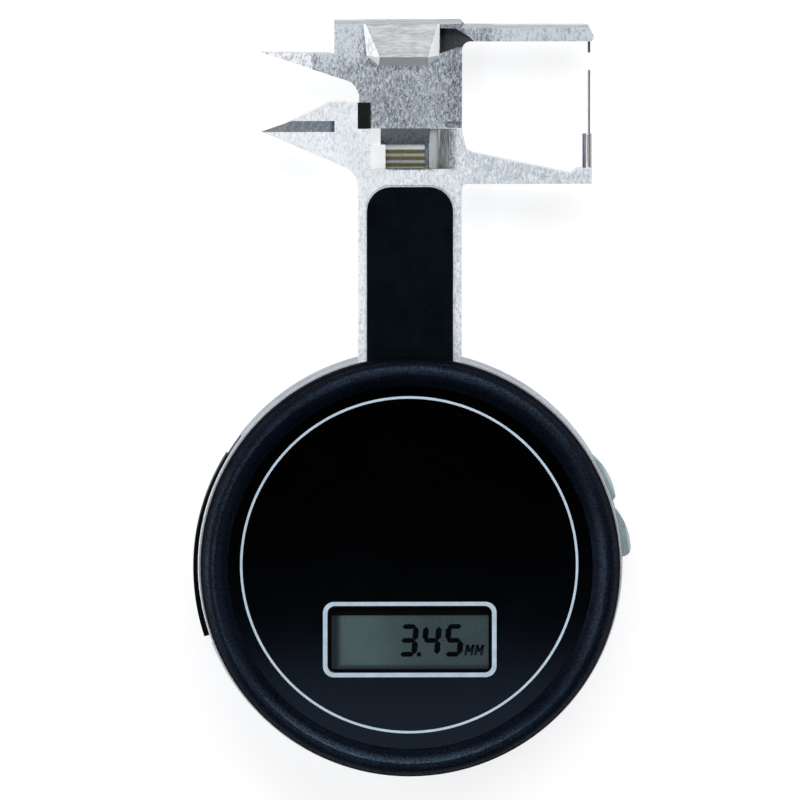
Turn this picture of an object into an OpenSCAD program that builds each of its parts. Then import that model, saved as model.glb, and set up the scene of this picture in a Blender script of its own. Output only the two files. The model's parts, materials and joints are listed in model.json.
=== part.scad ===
// Digital gemstone gauge lying on its back: dial to +Z, jaws to +Y, keys to +X.
// The origin is the centre of the flat round back. Lengths are in millimetres.

/* [Case] */
// Outer radius of the round case at its widest line
case_r = 42.6; // [41.9:0.1:43.4]
// Height of the case rim above the flat back
rim_z = 12.4; // [12.2:0.1:13.4]
// Thickness of the case side wall at its widest line
case_wall = 2.1; // [1.9:0.1:2.4]
// Radius of the gentle outward curve of the case side, seen from the side
case_curve_r = 27; // [24:1:60]
// Thickness of the case back
case_floor = 1.8; // [1.6:0.1:1.9]
// Height of the bezel crest above the flat back
crest_z = 20; // [19.8:0.1:22]
// How far the bezel side stays inside the widest line of the case
bezel_inset = 0.8; // [0.2:0.1:1]
// Width of the rounded outer band of the bezel
bezel_band = 2.8; // [2.2:0.1:3]

/* [Display] */
// Width of the window in the face plate
window_w = 32.6; // [28:0.2:34]
// Height of the window in the face plate
window_h = 13; // [11:0.2:14]
// Middle of the window, measured down from the centre of the dial
window_drop = 14.4; // [14:0.2:15]
// Thickness of the face plate
face_t = 1; // [0.8:0.1:1.2]

/* [Stem] */
// Width of the stem
stem_w = 20.6; // [20.4:0.1:21.4]
// Top of the black inlay on the stem, measured from the underside of the head
panel_top_y = -0.6; // [-4:0.2:-0.6]
// Corner radius of the black inlay
panel_corner_r = 4.8; // [2:0.2:6]
// Width of the metal edge on each side of the inlay
panel_edge = 1.7; // [1.5:0.1:2.4]

/* [Head] */
// Underside of the head
head_y = 76.2; // [76.2:0.1:77]
// Top edge of the window in the head, measured from the underside of the head
lip_y = 11; // [10.4:0.1:11.2]
// Top of the fixed left wall beside the moving block, measured from the window's top edge
wall_top_y = 5.2; // [4:0.1:5.4]
// Reach of the left jaw tips from the middle of the stem
left_reach = 29.6; // [26:0.2:33]
// Reach of the right arms from the middle of the stem
right_reach = 36.2; // [33:0.2:40]
// Top of the moving block, measured from the window's top edge
block_top_y = 21.5; // [20.6:0.1:22.2]
// Thickness of the upper right arm, seen from the front
arm_h = 3.3; // [2.4:0.1:3.4]
// Height of the finger catch above the block
catch_h = 2.6; // [1.8:0.1:3]

/* [Probe] */
// Opening between the contact pin and the needle
probe_gap = 3.45; // [3.45:0.05:5]
// Top of the needle, measured from the window's top edge
needle_tip_y = 11.5; // [9.8:0.1:11.5]
// Radius of the needle
needle_r = 0.25; // [0.2:0.01:0.4]
// Radius of the sleeve that holds the needle
sleeve_r = 0.95; // [0.8:0.05:1]

/* [Mechanism] */
// Width of the slide bar
bar_w = 9.6; // [9:0.1:9.6]
// Thickness of the slide bar
bar_t = 2.2; // [2:0.1:2.2]
// Module of the teeth
tooth_module = 0.5; // [0.48:0.01:0.5]
// Teeth of the gear that the rack turns
rack_gear_teeth = 40; // [38:1:40]
// Teeth of the pinion that the lever sector meets
pinion_teeth = 16; // [16:1:17]
// Teeth of a full circle of the lever sector
sector_teeth = 92; // [90:1:94]
// Play between meshing teeth
backlash = 0.12; // [0.1:0.01:0.16]

/* [Keys and battery] */
// Width of a key along the case side
key_w = 9.7; // [7:0.1:9.8]
// Height of a key
key_h = 6.4; // [5:0.1:6.6]
// Radius of the coin cell
cell_r = 10; // [9:0.1:10.4]
// Thickness of the coin cell
cell_t = 3.2; // [3:0.1:3.2]

/* [Hidden] */
$fn = 72;

// Fits
play = 0.05;
snug = 0.02;
key_gap = 0.15;
screw_gap = 0.15;

// Levels above the back
cell_z = case_floor + 0.4;
frame_z = cell_z + cell_t;
back_plate_t = 1;
bar_z = frame_z + back_plate_t + play;
bar_top_z = bar_z + bar_t;
strip_t = 0.5;
strip_top_z = bar_top_z + strip_t;
trace_t = 0.1;
trace_top_z = strip_top_z + trace_t;
channel_roof_z = trace_top_z + 0.25;
skin_t = 1.6;
skin_z = rim_z - skin_t;
block_top_z = skin_z - 0.2;
block_z = frame_z - 0.6;
probe_z = (block_z + block_top_z) / 2 + 0.3;
board_z = rim_z - 1;
board_t = 1.2;
board_top_z = board_z + board_t;
face_top_z = crest_z - 2.4;
face_z = face_top_z - face_t;

// Radii of the case
case_in_r = case_r - case_wall;
// Level of the widest line of the case
belly_z = 6.6;
// Depth and height of the groove under the case rim
groove = [0.3, 0.3];
bezel_r = case_r - bezel_inset;
crest_r = bezel_r - bezel_band;
lip_r = crest_r - 2.7;
face_r = lip_r + 1.4;
spigot_r = case_in_r - 2.4;
column_pos_r = case_in_r - 6.7;
column_r = 3;
boss_r = 2.6;
boss_web = 2.4;
column_angles = [45, 135, 225, 315];
screw_r = 0.95;
case_head_r = 1.85;
case_head_z = 1.6;
small_screw_r = 0.7;
small_head_r = 1.4;

// Stem and channel
stem_half = stem_w / 2;
tail_y = case_in_r - 16.2;
tail_half = stem_half + 4.7;
tail_flange_y = tail_y + 10;
tail_flange_t = 3;
tail_screw = [stem_half + 2.7, tail_y + 4];
inlay_y = head_y + panel_top_y;
channel_half = 5.85;
bar_x = -channel_half + play;
bar_right_x = bar_x + bar_w;
bar_mid_x = (bar_x + bar_right_x) / 2;
gib_x = bar_right_x + play;
back_plate_half = stem_half - 0.9;
panel_t = 0.8;
panel_z = rim_z - 0.6;
panel_half = stem_half - panel_edge;
panel_end_y = case_in_r - 3;

// Head
edge_y = head_y + lip_y;
wall_y = edge_y + wall_top_y;
top_y = edge_y + block_top_y;
pocket_y = edge_y - 4;
window_low_y = edge_y - 8;
window_step_y = edge_y - 3.2;
window_step = 1;
window_chamfer = 2;
plate_screw_x = back_plate_half - 1.7;
plate_screw_ys = spaced(case_r + 1.6, pocket_y - 6.2, 4);
gib_screw_ys = spaced(case_r + 6.6, pocket_y - 11.2, 3);
gib_screw_r = 0.8;
gib_screw_z = bar_z + 1.2;
gib_screw_len = stem_half - channel_half - 0.45;
slide_down = 3.4;
slide_up = 8.8;
left_root_x = -15;
arm_top_y = top_y - 0.9;
arm_bottom_y = arm_top_y - arm_h;
jaw_gap_y = 15.7;
lower_tip_y = edge_y - 0.6;
upper_tip_y = lower_tip_y + jaw_gap_y;
sleeve_x = right_reach - 0.8;
probe_x = sleeve_x + 0.35;
sleeve_low_y = head_y + 0.6;
sleeve_len = 9.2;
needle_low_y = head_y + 2;
pin_r = 0.27;
pin_tip_y = edge_y + needle_tip_y + probe_gap;
facet_depth = 1.4;
facet_low_y = edge_y - 0.7;
facet_high_y = edge_y + 1.6;

// Slide bar
bar_high_y = edge_y + 10.8;
strip_inset = 0.8;
tongue_y = edge_y - 3.1;
strip_high_y = tongue_y - 0.1;
strip_inset_top = 1.15;
trace_pitch = 1.32;
trace_w = 0.66;
slide_screw_ys = [edge_y + 4.4, edge_y + 8.2];

// Gear train
pressure_angle = 20;
addendum = tooth_module;
dedendum = 1.2 * tooth_module;
rack_pitch = PI * tooth_module;
rack_line_x = bar_x + addendum;
rack_gear_r = tooth_module * rack_gear_teeth / 2;
pinion_r = tooth_module * pinion_teeth / 2;
sector_r = tooth_module * sector_teeth / 2;
pivot_angle = 208.75;
pivot = polar(case_in_r - 4.85, pivot_angle);
gear_x = rack_line_x - rack_gear_r;
gear_y = pivot[1] + sqrt(pow(sector_r + pinion_r, 2) - pow(gear_x - pivot[0], 2));
gear_centre = [gear_x, gear_y];
mesh_angle = atan2(gear_y - pivot[1], gear_x - pivot[0]);
arbor_r = 1;
gear_z = bar_z + 0.15;
gear_t = bar_t - 0.3;
pinion_z = bar_top_z + 0.25;
pinion_top_z = board_z - 0.8;
rack_low_y = gear_y - slide_up - 3;
rack_high_y = gear_y + slide_down + 3;
bar_low_y = rack_low_y;
strip_low_y = bar_low_y + 2.5;

// Lever
plate_z = pinion_z + 0.1;
pivot_head_gap = 0.15;
pivot_head_t = 0.6;
plate_t = board_z - plate_z - pivot_head_gap - pivot_head_t - 0.25;
pivot_r = 1.25;
hub_r = 3.2;
pad_low_angle = 199.3;
pad_high_angle = 148.8;
pad_out_r = case_r + 0.1;
// Middle of the pad's outer face, off the middle of the case so that its lower end stands out
pad_out_centre = [-0.5, -0.8];
pad_in_r = case_in_r - 1.6;
pad_z = 3.2;
slot_z = 2.8;
slot_top_z = plate_z + plate_t + 0.2;
case_rim_r = side_r(slot_top_z);
pad_shelf_r = case_rim_r - 0.1;
slot_low_angle = 202;
slot_high_angle = 142.5;
pad_screw_angles = [160, 186];
pad_screw_r = (pad_in_r + pad_shelf_r) / 2;

// Keys
key_z = belly_z;
key_travel = 0.8;
key_wall = 0.6;
power_out_r = case_r + 1;
zero_out_r = case_r + 1.65;
power_crown_y = -0.8;
zero_crown_y = -2;
key_corner_r = 1.8;
key_in_r = case_in_r - 2.2;
key_flange_r = case_in_r - 0.6;
key_flange_extra = 1;
key_crown_r = 9;
zero_angle = 8.6;
power_angle = zero_angle + (key_w + key_wall) / key_in_r * 180 / PI;
switch_depth = 3;
switch_w = 5.2;
switch_h = 3.4;
plunger_len = 2 - key_travel - 0.2;

// Battery
cell_y = 21.5 - case_in_r;
door_r = cell_r + 1.6;
door_neck_r = cell_r + 0.6;
door_flange_t = 1;
door_lug_r = door_neck_r + 1.5;
door_lug_t = 0.9;
door_lug_span = 26;
door_turn = 60;

// Display
lcd_border = [1.2, 2];
lcd_top_z = face_z - 0.4;
lcd_z = board_top_z + 1.4;
lcd_w = window_w + 2 * lcd_border[0];
lcd_h = window_h + 2 * lcd_border[1];
holder_rim = 2;
zebra_w = 1.4;

// Reader of the scale strip
reader_z = trace_top_z + 0.2;
reader_t = 0.7;

// Clip of the gear arbor
clip_z = pinion_top_z + 0.05;
clip_t = 0.3;

// Chamfers along the top edges of the block and of its right arm
block_chamfer = 0.7;
arm_chamfer = 0.6;

// Slope milled into the block beside the finger catch, with its outline seen from the front
scoop_x = 6;
scoop_end_x = 13;
scoop_depth = 3;
scoop_outline = [
    [scoop_x, top_y - 6.6, 0], [scoop_x, top_y - 1.5, 0], [scoop_x + 3.2, top_y - 1.6, 1],
    [scoop_end_x - 1.2, top_y - 3.2, 1], [scoop_end_x, top_y - 4.4, 0],
    [scoop_end_x, top_y - 5.3, 0], [scoop_x + 3.4, top_y - 5.4, 1.5]
];

// Finger catch
catch_low_y = top_y - 9;
catch_mid_y = top_y - 7.2;
catch_top_y = top_y - 0.7;
catch_screw_places = [for (side = [-1, 1]) [bar_mid_x + side * 3.4, top_y - 5.8]];

// Points of an arc that rounds the corner b between a and c
function corner_arc(a, b, c, r, steps) =
    let (
        u = (a - b) / norm(a - b),
        v = (c - b) / norm(c - b),
        half = acos(u * v) / 2,
        middle = b + (u + v) / norm(u + v) * r / sin(half),
        first = b + u * r / tan(half) - middle,
        last = b + v * r / tan(half) - middle,
        start = atan2(first[1], first[0]),
        sweep = (atan2(last[1], last[0]) - start + 540) % 360 - 180
    )
    [for (i = [0:steps]) middle + r * [cos(start + sweep * i / steps), sin(start + sweep * i / steps)]];

// Outline whose corners [x, y, radius] are rounded where the radius is above zero
function rounded(corners, steps = 6) =
    let (
        n = len(corners),
        p = [for (c = corners) [c[0], c[1]]]
    )
    [
        for (i = [0:n - 1])
            each corners[i][2] > 0
                ? corner_arc(p[(i + n - 1) % n], p[i], p[(i + 1) % n], corners[i][2], steps)
                : [p[i]]
    ];

// Involute function of an angle in degrees
function involute(a) = tan(a) * 180 / PI - a;

// Half of the angle that a tooth covers at radius r
function tooth_half_angle(teeth, r) =
    let (
        pitch_r = tooth_module * teeth / 2,
        base_r = pitch_r * cos(pressure_angle),
        at_r = max(r, base_r)
    )
    90 / teeth - backlash / 4 / pitch_r * 180 / PI
        + involute(pressure_angle) - involute(acos(base_r / at_r));

// Outline of the teeth with the given numbers, tooth 0 lying on the x axis
function tooth_points(teeth, numbers) =
    let (
        pitch_r = tooth_module * teeth / 2,
        radii = [pitch_r - dedendum, pitch_r - 0.4 * addendum, pitch_r + 0.2 * addendum, pitch_r + addendum]
    )
    [
        for (k = numbers)
            each concat(
                [for (r = radii) tooth_side(teeth, k, r, -1)],
                [for (i = [len(radii) - 1:-1:0]) tooth_side(teeth, k, radii[i], 1)]
            )
    ];

// Point on one side of tooth k at radius r
function tooth_side(teeth, k, r, side) = polar(r, k * 360 / teeth + side * tooth_half_angle(teeth, r));

// Point at a radius and an angle about the origin
function polar(r, angle) = [r * cos(angle), r * sin(angle)];

// Radius of the case side at a height above the back
function side_r(z) = case_r - case_curve_r + sqrt(pow(case_curve_r, 2) - pow(z - belly_z, 2));

// Evenly spaced values from the first to the last
function spaced(first, last, count) = [for (i = [0:count - 1]) first + (last - first) * i / (count - 1)];

// Block with its lowest corner at the first point and its highest at the second
module block_between(low, high) {
    translate(low) cube(high - low);
}

// Upright cylinder at [x, y] from one level to another
module post(at, r, low, high, sides = 48) {
    translate([at[0], at[1], low]) cylinder(h = high - low, r = r, $fn = sides);
}

// Part of an upright ring between two angles
module ring_part(r_in, r_out, low, high, from_angle, to_angle) {
    rotate([0, 0, from_angle])
        rotate_extrude(angle = to_angle - from_angle, $fn = 144)
            translate([r_in, low]) square([r_out - r_in, high - low]);
}

// Extrusion along Y of an outline given as [x, z]
module along_y(low, high, outline) {
    translate([0, high, 0]) rotate([90, 0, 0]) linear_extrude(high - low) polygon(outline);
}

// Extrusion along X of an outline given as [y, z]
module along_x(low, high, outline) {
    translate([low, 0, 0]) rotate([90, 0, 90]) linear_extrude(high - low) polygon(outline);
}

// Upright plate with rounded corners given as [x, y, radius]
module plate(corners, low, high) {
    translate([0, 0, low]) linear_extrude(high - low) polygon(rounded(corners));
}

// Screw that stands on its head, thread upwards, with a hexagon socket
module socket_screw(at, head_r, head_z, head_top_z, r, thread_top_z) {
    difference() {
        union() {
            post(at, head_r, head_z, head_top_z, 32);
            post(at, r, head_top_z, thread_top_z, 24);
        }
        post(at, head_r * 0.5, head_z - 1, head_z + (head_top_z - head_z) * 0.6, 6);
    }
}

// Screw with its head on top, thread downwards, with a hexagon socket
module top_screw(at, head_r, head_z, head_top_z, r, thread_z) {
    difference() {
        union() {
            post(at, head_r, head_z, head_top_z, 32);
            post(at, r, thread_z, head_z, 24);
        }
        post(at, head_r * 0.5, head_top_z - (head_top_z - head_z) * 0.6, head_top_z + 1, 6);
    }
}

// Copies of a child on the four case columns
module at_columns() {
    for (a = column_angles) translate(polar(column_pos_r, a)) children();
}

// Solid of a key that reaches from the inside of the case to its domed outer end, whose highest
// line lies at crown_y from the middle of the key
module key(out_r, crown_y) {
    half_w = key_w / 2;
    far_w = half_w + abs(crown_y);
    rise = out_r - case_r + 0.4;
    dome_r = (far_w * far_w + rise * rise) / (2 * rise);
    inward = out_r - key_in_r + 1;
    intersection() {
        plate([
            [key_in_r, -half_w, 0], [out_r, -half_w, key_corner_r],
            [out_r, half_w, key_corner_r], [key_in_r, half_w, 0]
        ], key_z - key_h / 2, key_z + key_h / 2);
        translate([out_r - dome_r, crown_y, key_z])
            union() {
                cylinder(h = key_h + 2, r = dome_r, center = true);
                translate([-inward, -key_w, -key_h]) cube([inward, 2 * key_w, 2 * key_h]);
            }
        translate([out_r - key_crown_r, 0, key_z])
            rotate([90, 0, 0])
                union() {
                    cylinder(h = key_w + 2, r = key_crown_r, center = true);
                    translate([-inward, -key_h, -key_w]) cube([inward, 2 * key_h, 2 * key_w]);
                }
    }
    block_between(
        [key_in_r, -half_w, key_z - key_h / 2 - key_flange_extra],
        [key_flange_r, half_w, key_z + key_h / 2 + key_flange_extra]
    );
}

// Opening for a key through the case wall
module key_slot(angle) {
    half_w = key_w / 2 + key_gap;
    half_h = key_h / 2 + key_gap;
    rotate([0, 0, angle])
        block_between([case_in_r - 2, -half_w, key_z - half_h], [case_r + 2, half_w, key_z + half_h]);
}

module rear_case() {
    edge = 1.2;
    curve_steps = 8;
    groove_r = case_rim_r - groove[0];
    groove_top_z = slot_top_z + groove[1];
    color("silver")
    difference() {
        union() {
            rotate_extrude($fn = 180)
                polygon(concat(
                    [[0, 0], [side_r(0) - edge, 0]],
                    [for (z = spaced(edge, slot_top_z, curve_steps)) [side_r(z), z]],
                    [[groove_r, slot_top_z], [groove_r, groove_top_z], [case_rim_r, groove_top_z],
                     [case_rim_r, rim_z - 0.2], [case_rim_r - 0.2, rim_z],
                     [case_in_r, rim_z], [case_in_r, case_floor], [0, case_floor]]
                ));
            at_columns() post([0, 0], column_r, case_floor, board_z);
            for (side = [-1, 1]) post([side * tail_screw[0], tail_screw[1]], boss_r, case_floor, frame_z);
            post(gear_centre, 2.5, case_floor, bar_z);
            post(pivot, hub_r - 0.2, case_floor, plate_z - 0.3);
        }
        at_columns() {
            post([0, 0], screw_r + screw_gap, -1, board_z + 1);
            post([0, 0], case_head_r + 0.2, -1, case_head_z);
        }
        for (side = [-1, 1])
            post([side * tail_screw[0], tail_screw[1]], screw_r + snug, case_floor + 0.6, frame_z + 1);
        post(gear_centre, arbor_r + snug, case_floor + 0.6, bar_z + 1);
        post(pivot, screw_r + snug, case_floor + 2, plate_z + 1);
        block_between([-stem_half, case_in_r / 2, frame_z], [stem_half, case_r + 2, rim_z + 1]);
        ring_part(case_in_r - 1, case_r + 1, slot_z, slot_top_z, slot_high_angle, slot_low_angle);
        key_slot(power_angle);
        key_slot(zero_angle);
        translate([0, cell_y, 0]) {
            post([0, 0], door_neck_r + 0.15, -1, case_floor + 1);
            post([0, 0], door_r + 0.15, -1, door_flange_t + play);
            for (turn = [door_turn, door_turn + 180])
                ring_part(door_neck_r - 1, door_lug_r + 0.15, -1, case_floor + 1,
                          turn - door_lug_span / 2 - 3, turn + door_lug_span / 2 + 3);
        }
    }
}

// Boss that takes a case screw, with the web that joins it to the bezel ring
module bezel_boss(angle, gap, top_z) {
    rotate([0, 0, angle]) {
        post([column_pos_r, 0], boss_r + gap, board_top_z, top_z);
        block_between(
            [column_pos_r, -boss_web / 2 - gap, board_top_z],
            [face_r + 0.6, boss_web / 2 + gap, top_z]
        );
    }
}

module front_bezel() {
    arc_steps = 10;
    shoulder_z = rim_z + 4.4;
    spigot_z = rim_z - 1.2;
    color([0.12, 0.13, 0.16])
    difference() {
        union() {
            rotate_extrude($fn = 180)
                polygon(concat(
                    [[face_r + 0.1, rim_z], [spigot_r, rim_z], [spigot_r, spigot_z],
                     [case_in_r - 0.1, spigot_z], [case_in_r - 0.1, rim_z],
                     [bezel_r - 0.5, rim_z], [bezel_r, rim_z + 0.6]],
                    [for (i = [0:arc_steps])
                        [crest_r + bezel_band * cos(90 * i / arc_steps),
                         shoulder_z + (crest_z - shoulder_z) * sin(90 * i / arc_steps)]],
                    [[crest_r - 0.4, crest_z - 0.2], [lip_r, face_top_z + 0.5], [lip_r, face_top_z],
                     [face_r + 0.1, face_top_z]]
                ));
            for (a = column_angles) bezel_boss(a, 0, face_z);
        }
        at_columns() post([0, 0], screw_r - 0.1, board_top_z - 1, face_z - 0.6);
        block_between([-stem_half - 0.1, tail_y, spigot_z - 1], [stem_half + 0.1, case_r, rim_z]);
        block_between(
            [-panel_half - play, tail_y, rim_z - 1],
            [panel_half + play, case_r + 2, panel_z + panel_t + play]
        );
    }
}

// Outline of a rectangle with round corners, centred on the display
function display_outline(w, h, r) = [
    for (c = [[-1, -1], [1, -1], [1, 1], [-1, 1]]) [c[0] * w / 2, c[1] * h / 2 - window_drop, r]
];

module face_plate() {
    color([0.02, 0.02, 0.03])
    difference() {
        post([0, 0], face_r, face_z, face_top_z, 144);
        plate(display_outline(window_w, window_h, 1.6), face_z - 1, face_top_z + 1);
    }
}

module lcd_glass() {
    color([0.45, 0.52, 0.5])
    plate(display_outline(lcd_w, lcd_h, 0), lcd_z, lcd_top_z);
}

module lcd_holder() {
    color([0.75, 0.75, 0.72])
    difference() {
        plate(display_outline(lcd_w + 2 * holder_rim, lcd_h + 2 * holder_rim, 1), board_top_z, face_z);
        plate(display_outline(lcd_w, lcd_h, 0), lcd_z, face_z + 1);
        plate(display_outline(window_w, window_h, 0), board_top_z - 1, face_z + 1);
        for (side = [-1, 1]) zebra_space(side, play);
        for (a = column_angles) bezel_boss(a, 0.2, face_z + 1);
    }
}

// Room of one rubber connector above or below the middle of the display
module zebra_space(side, gap) {
    half_w = lcd_w / 2 - holder_rim + gap;
    half_h = zebra_w / 2 + gap;
    translate([0, side * (lcd_h / 2 - lcd_border[1] / 2) - window_drop, 0])
        block_between([-half_w, -half_h, board_top_z], [half_w, half_h, lcd_z]);
}

module zebra_strips() {
    color([0.85, 0.5, 0.55])
    for (side = [-1, 1]) zebra_space(side, 0);
}

module main_board() {
    color([0.1, 0.35, 0.2])
    difference() {
        post([0, 0], column_pos_r + 3, board_z, board_top_z, 120);
        at_columns() post([0, 0], screw_r + screw_gap, board_z - 1, board_top_z + 1);
        block_between([-tail_half - 1, tail_y - 1.5, board_z - 1], [tail_half + 1, case_r, board_top_z + 1]);
    }
}

module reader_board() {
    color([0.12, 0.4, 0.22])
    block_between(
        [bar_x - 1.2, strip_low_y, reader_z],
        [bar_right_x + 1.2, tail_y - 2.5, reader_z + reader_t]
    );
}

module board_header() {
    pin_count = 6;
    pin_step = 1.6;
    color([0.1, 0.1, 0.1])
    block_between(
        [bar_mid_x - pin_count * pin_step / 2, tail_y - 5, reader_z + reader_t],
        [bar_mid_x + pin_count * pin_step / 2, tail_y - 3.2, board_z]
    );
}

module button_switches() {
    color([0.7, 0.7, 0.72])
    for (a = [power_angle, zero_angle])
        rotate([0, 0, a]) {
            block_between(
                [key_in_r - 2 - switch_depth, -switch_w / 2, board_z - switch_h],
                [key_in_r - 2, switch_w / 2, board_z]
            );
            translate([key_in_r - 2, 0, board_z - switch_h * 0.65])
                rotate([0, 90, 0]) cylinder(h = plunger_len, r = 0.9, $fn = 32);
        }
}

module power_button() {
    color([0.51, 0.57, 0.55]) rotate([0, 0, power_angle]) key(power_out_r, power_crown_y);
}

module zero_button() {
    color([0.51, 0.57, 0.55]) rotate([0, 0, zero_angle]) key(zero_out_r, zero_crown_y);
}

module coin_cell() {
    color([0.8, 0.8, 0.82]) translate([0, cell_y, 0]) {
        post([0, 0], cell_r - 0.3, cell_z, cell_z + 0.6, 96);
        post([0, 0], cell_r, cell_z + 0.6, cell_z + cell_t, 96);
    }
}

module battery_holder() {
    ring_out_r = door_lug_r + 1.9;
    ledge_z = case_floor + door_lug_t + 0.45;
    color([0.15, 0.15, 0.15]) translate([0, cell_y, 0])
    difference() {
        post([0, 0], ring_out_r, case_floor, cell_z + cell_t - 0.2, 96);
        post([0, 0], door_lug_r + 0.4, case_floor - 1, ledge_z, 96);
        post([0, 0], cell_r + 0.2, case_floor - 1, frame_z + 1, 96);
    }
}

module battery_contacts() {
    leaf_z = cell_z + cell_t;
    leaf_t = 0.3;
    leaf_w = 2;
    leaf_x = 7;
    foot_y = -door_lug_r - 1.2;
    leaf_ends = [-0.4 * cell_r, -cell_r - 0.4];
    color([0.85, 0.78, 0.5]) translate([0, cell_y, 0])
        for (k = [0, 1])
            translate([(2 * k - 1) * leaf_x - leaf_w / 2, foot_y, leaf_z]) {
                cube([leaf_w, 2 * leaf_t, board_z - leaf_z]);
                cube([leaf_w, leaf_ends[k] - foot_y, leaf_t]);
            }
}

module battery_door() {
    coin_slot = [12, 1.8];
    color([0.75, 0.75, 0.78]) translate([0, cell_y, 0])
    difference() {
        union() {
            post([0, 0], door_r, 0.1, door_flange_t, 120);
            post([0, 0], door_neck_r, door_flange_t, case_floor + 0.1 + door_lug_t, 120);
            for (turn = [0, 180])
                ring_part(door_neck_r - 0.5, door_lug_r, case_floor + 0.1, case_floor + 0.1 + door_lug_t,
                          turn - door_lug_span / 2, turn + door_lug_span / 2);
        }
        block_between([-coin_slot[0] / 2, -coin_slot[1] / 2, -1], [coin_slot[0] / 2, coin_slot[1] / 2, 0.9]);
        post([0, 0], cell_r + 0.2, cell_z - 0.2, frame_z, 96);
    }
}

module case_screws() {
    color([0.6, 0.6, 0.62])
    at_columns() socket_screw([0, 0], case_head_r, 0.3, case_head_z, screw_r - 0.12, face_z - 1);
}

module thumb_pad() {
    color([0.05, 0.05, 0.06])
    difference() {
        union() {
            ring_part(pad_in_r, pad_shelf_r, pad_z, plate_z, pad_high_angle, pad_low_angle);
            intersection() {
                ring_part(pad_shelf_r, case_r + 2, pad_z, plate_z + plate_t, pad_high_angle, pad_low_angle);
                post(pad_out_centre, pad_out_r, 0, rim_z, 180);
            }
        }
        for (a = pad_screw_angles)
            post(polar(pad_screw_r, a), small_screw_r + snug, plate_z - 4, plate_z + 2);
    }
}

// Teeth and rim of the lever sector, drawn about the pivot with a gap facing the pinion
module sector_teeth_plate() {
    first = -3;
    last = 4;
    step = 360 / sector_teeth;
    root_r = sector_r - dedendum;
    rim_r = root_r - 3;
    rotate([0, 0, mesh_angle + step / 2])
        linear_extrude(plate_t)
            polygon(concat(
                [polar(rim_r, (first - 0.5) * step)],
                tooth_points(sector_teeth, [first:last]),
                [polar(rim_r, (last + 0.5) * step)],
                [for (k = [last:-1:first]) polar(rim_r, k * step)]
            ));
}

module lever_plate() {
    flange_low = pad_low_angle - 3;
    flange_high = pad_high_angle + 4;
    arm_end = polar(pad_in_r + 1, flange_low);
    arm_far = polar(pad_in_r + 1, flange_low - 8);
    rim_r = sector_r - dedendum - 2;
    step = 360 / sector_teeth;
    color([0.7, 0.7, 0.72])
    difference() {
        union() {
            translate([pivot[0], pivot[1], 0]) {
                post([0, 0], hub_r, plate_z - 0.25, plate_z + plate_t + 0.1);
                translate([0, 0, plate_z]) {
                    sector_teeth_plate();
                    linear_extrude(plate_t)
                        polygon([
                            polar(hub_r - 0.6, mesh_angle - 60),
                            polar(rim_r, mesh_angle - 2 * step),
                            polar(rim_r, mesh_angle + 4 * step),
                            polar(hub_r - 0.6, mesh_angle + 60)
                        ]);
                }
            }
            translate([0, 0, plate_z])
                linear_extrude(plate_t)
                    polygon([
                        pivot + [-1, -hub_r + 0.6],
                        pivot + [2, hub_r - 1.2],
                        arm_far,
                        polar(pad_in_r + 2, flange_low - 8),
                        polar(pad_in_r + 2, flange_low),
                        arm_end
                    ]);
            ring_part(pad_in_r, pad_shelf_r - 0.1, plate_z, plate_z + plate_t, flange_high, flange_low);
        }
        post(pivot, pivot_r + play, plate_z - 1, plate_z + plate_t + 1);
        for (a = pad_screw_angles)
            post(polar(pad_screw_r, a), small_screw_r + snug, plate_z - 1, plate_z + plate_t + 1);
    }
}

module pad_screws() {
    color([0.6, 0.6, 0.62])
    for (a = pad_screw_angles)
        post(polar(pad_screw_r, a), small_screw_r, plate_z - 3.4, plate_z + plate_t);
}

module lever_pivot() {
    head_z = plate_z + plate_t + pivot_head_gap;
    color([0.6, 0.6, 0.62])
    difference() {
        union() {
            post(pivot, pivot_r + 0.95, head_z, head_z + pivot_head_t, 40);
            post(pivot, pivot_r, plate_z - 0.3, head_z, 40);
            post(pivot, screw_r, case_floor + 2.4, plate_z - 0.3, 32);
        }
        post(pivot, 0.9, head_z + pivot_head_t * 0.4, head_z + 1, 6);
    }
}

// Torsion spring: coils around the pivot boss, one leg against a column, one towards the lever
module lever_spring() {
    wire_r = 0.3;
    leg_r = 0.24;
    coil_r = hub_r + 0.4;
    coils = 4;
    coil_step = 1.8 * wire_r;
    coil_z = frame_z - 0.4;
    to_column = polar(column_pos_r, column_angles[2]) - pivot;
    column_leg = norm(to_column);
    lever_leg = 14;
    color([0.55, 0.55, 0.58])
    translate([pivot[0], pivot[1], coil_z]) {
        for (k = [0:coils - 1])
            translate([0, 0, k * coil_step])
                rotate_extrude($fn = 48) translate([coil_r, 0]) circle(r = wire_r, $fn = 16);
        rotate([0, 0, atan2(to_column[1], to_column[0])])
            translate([0, -coil_r, 0]) rotate([0, 90, 0]) cylinder(h = column_leg, r = leg_r, $fn = 16);
        translate([-coil_r, 0, (coils - 1) * coil_step])
            rotate([-90, 0, 0]) cylinder(h = lever_leg, r = leg_r, $fn = 16);
    }
}

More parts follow.
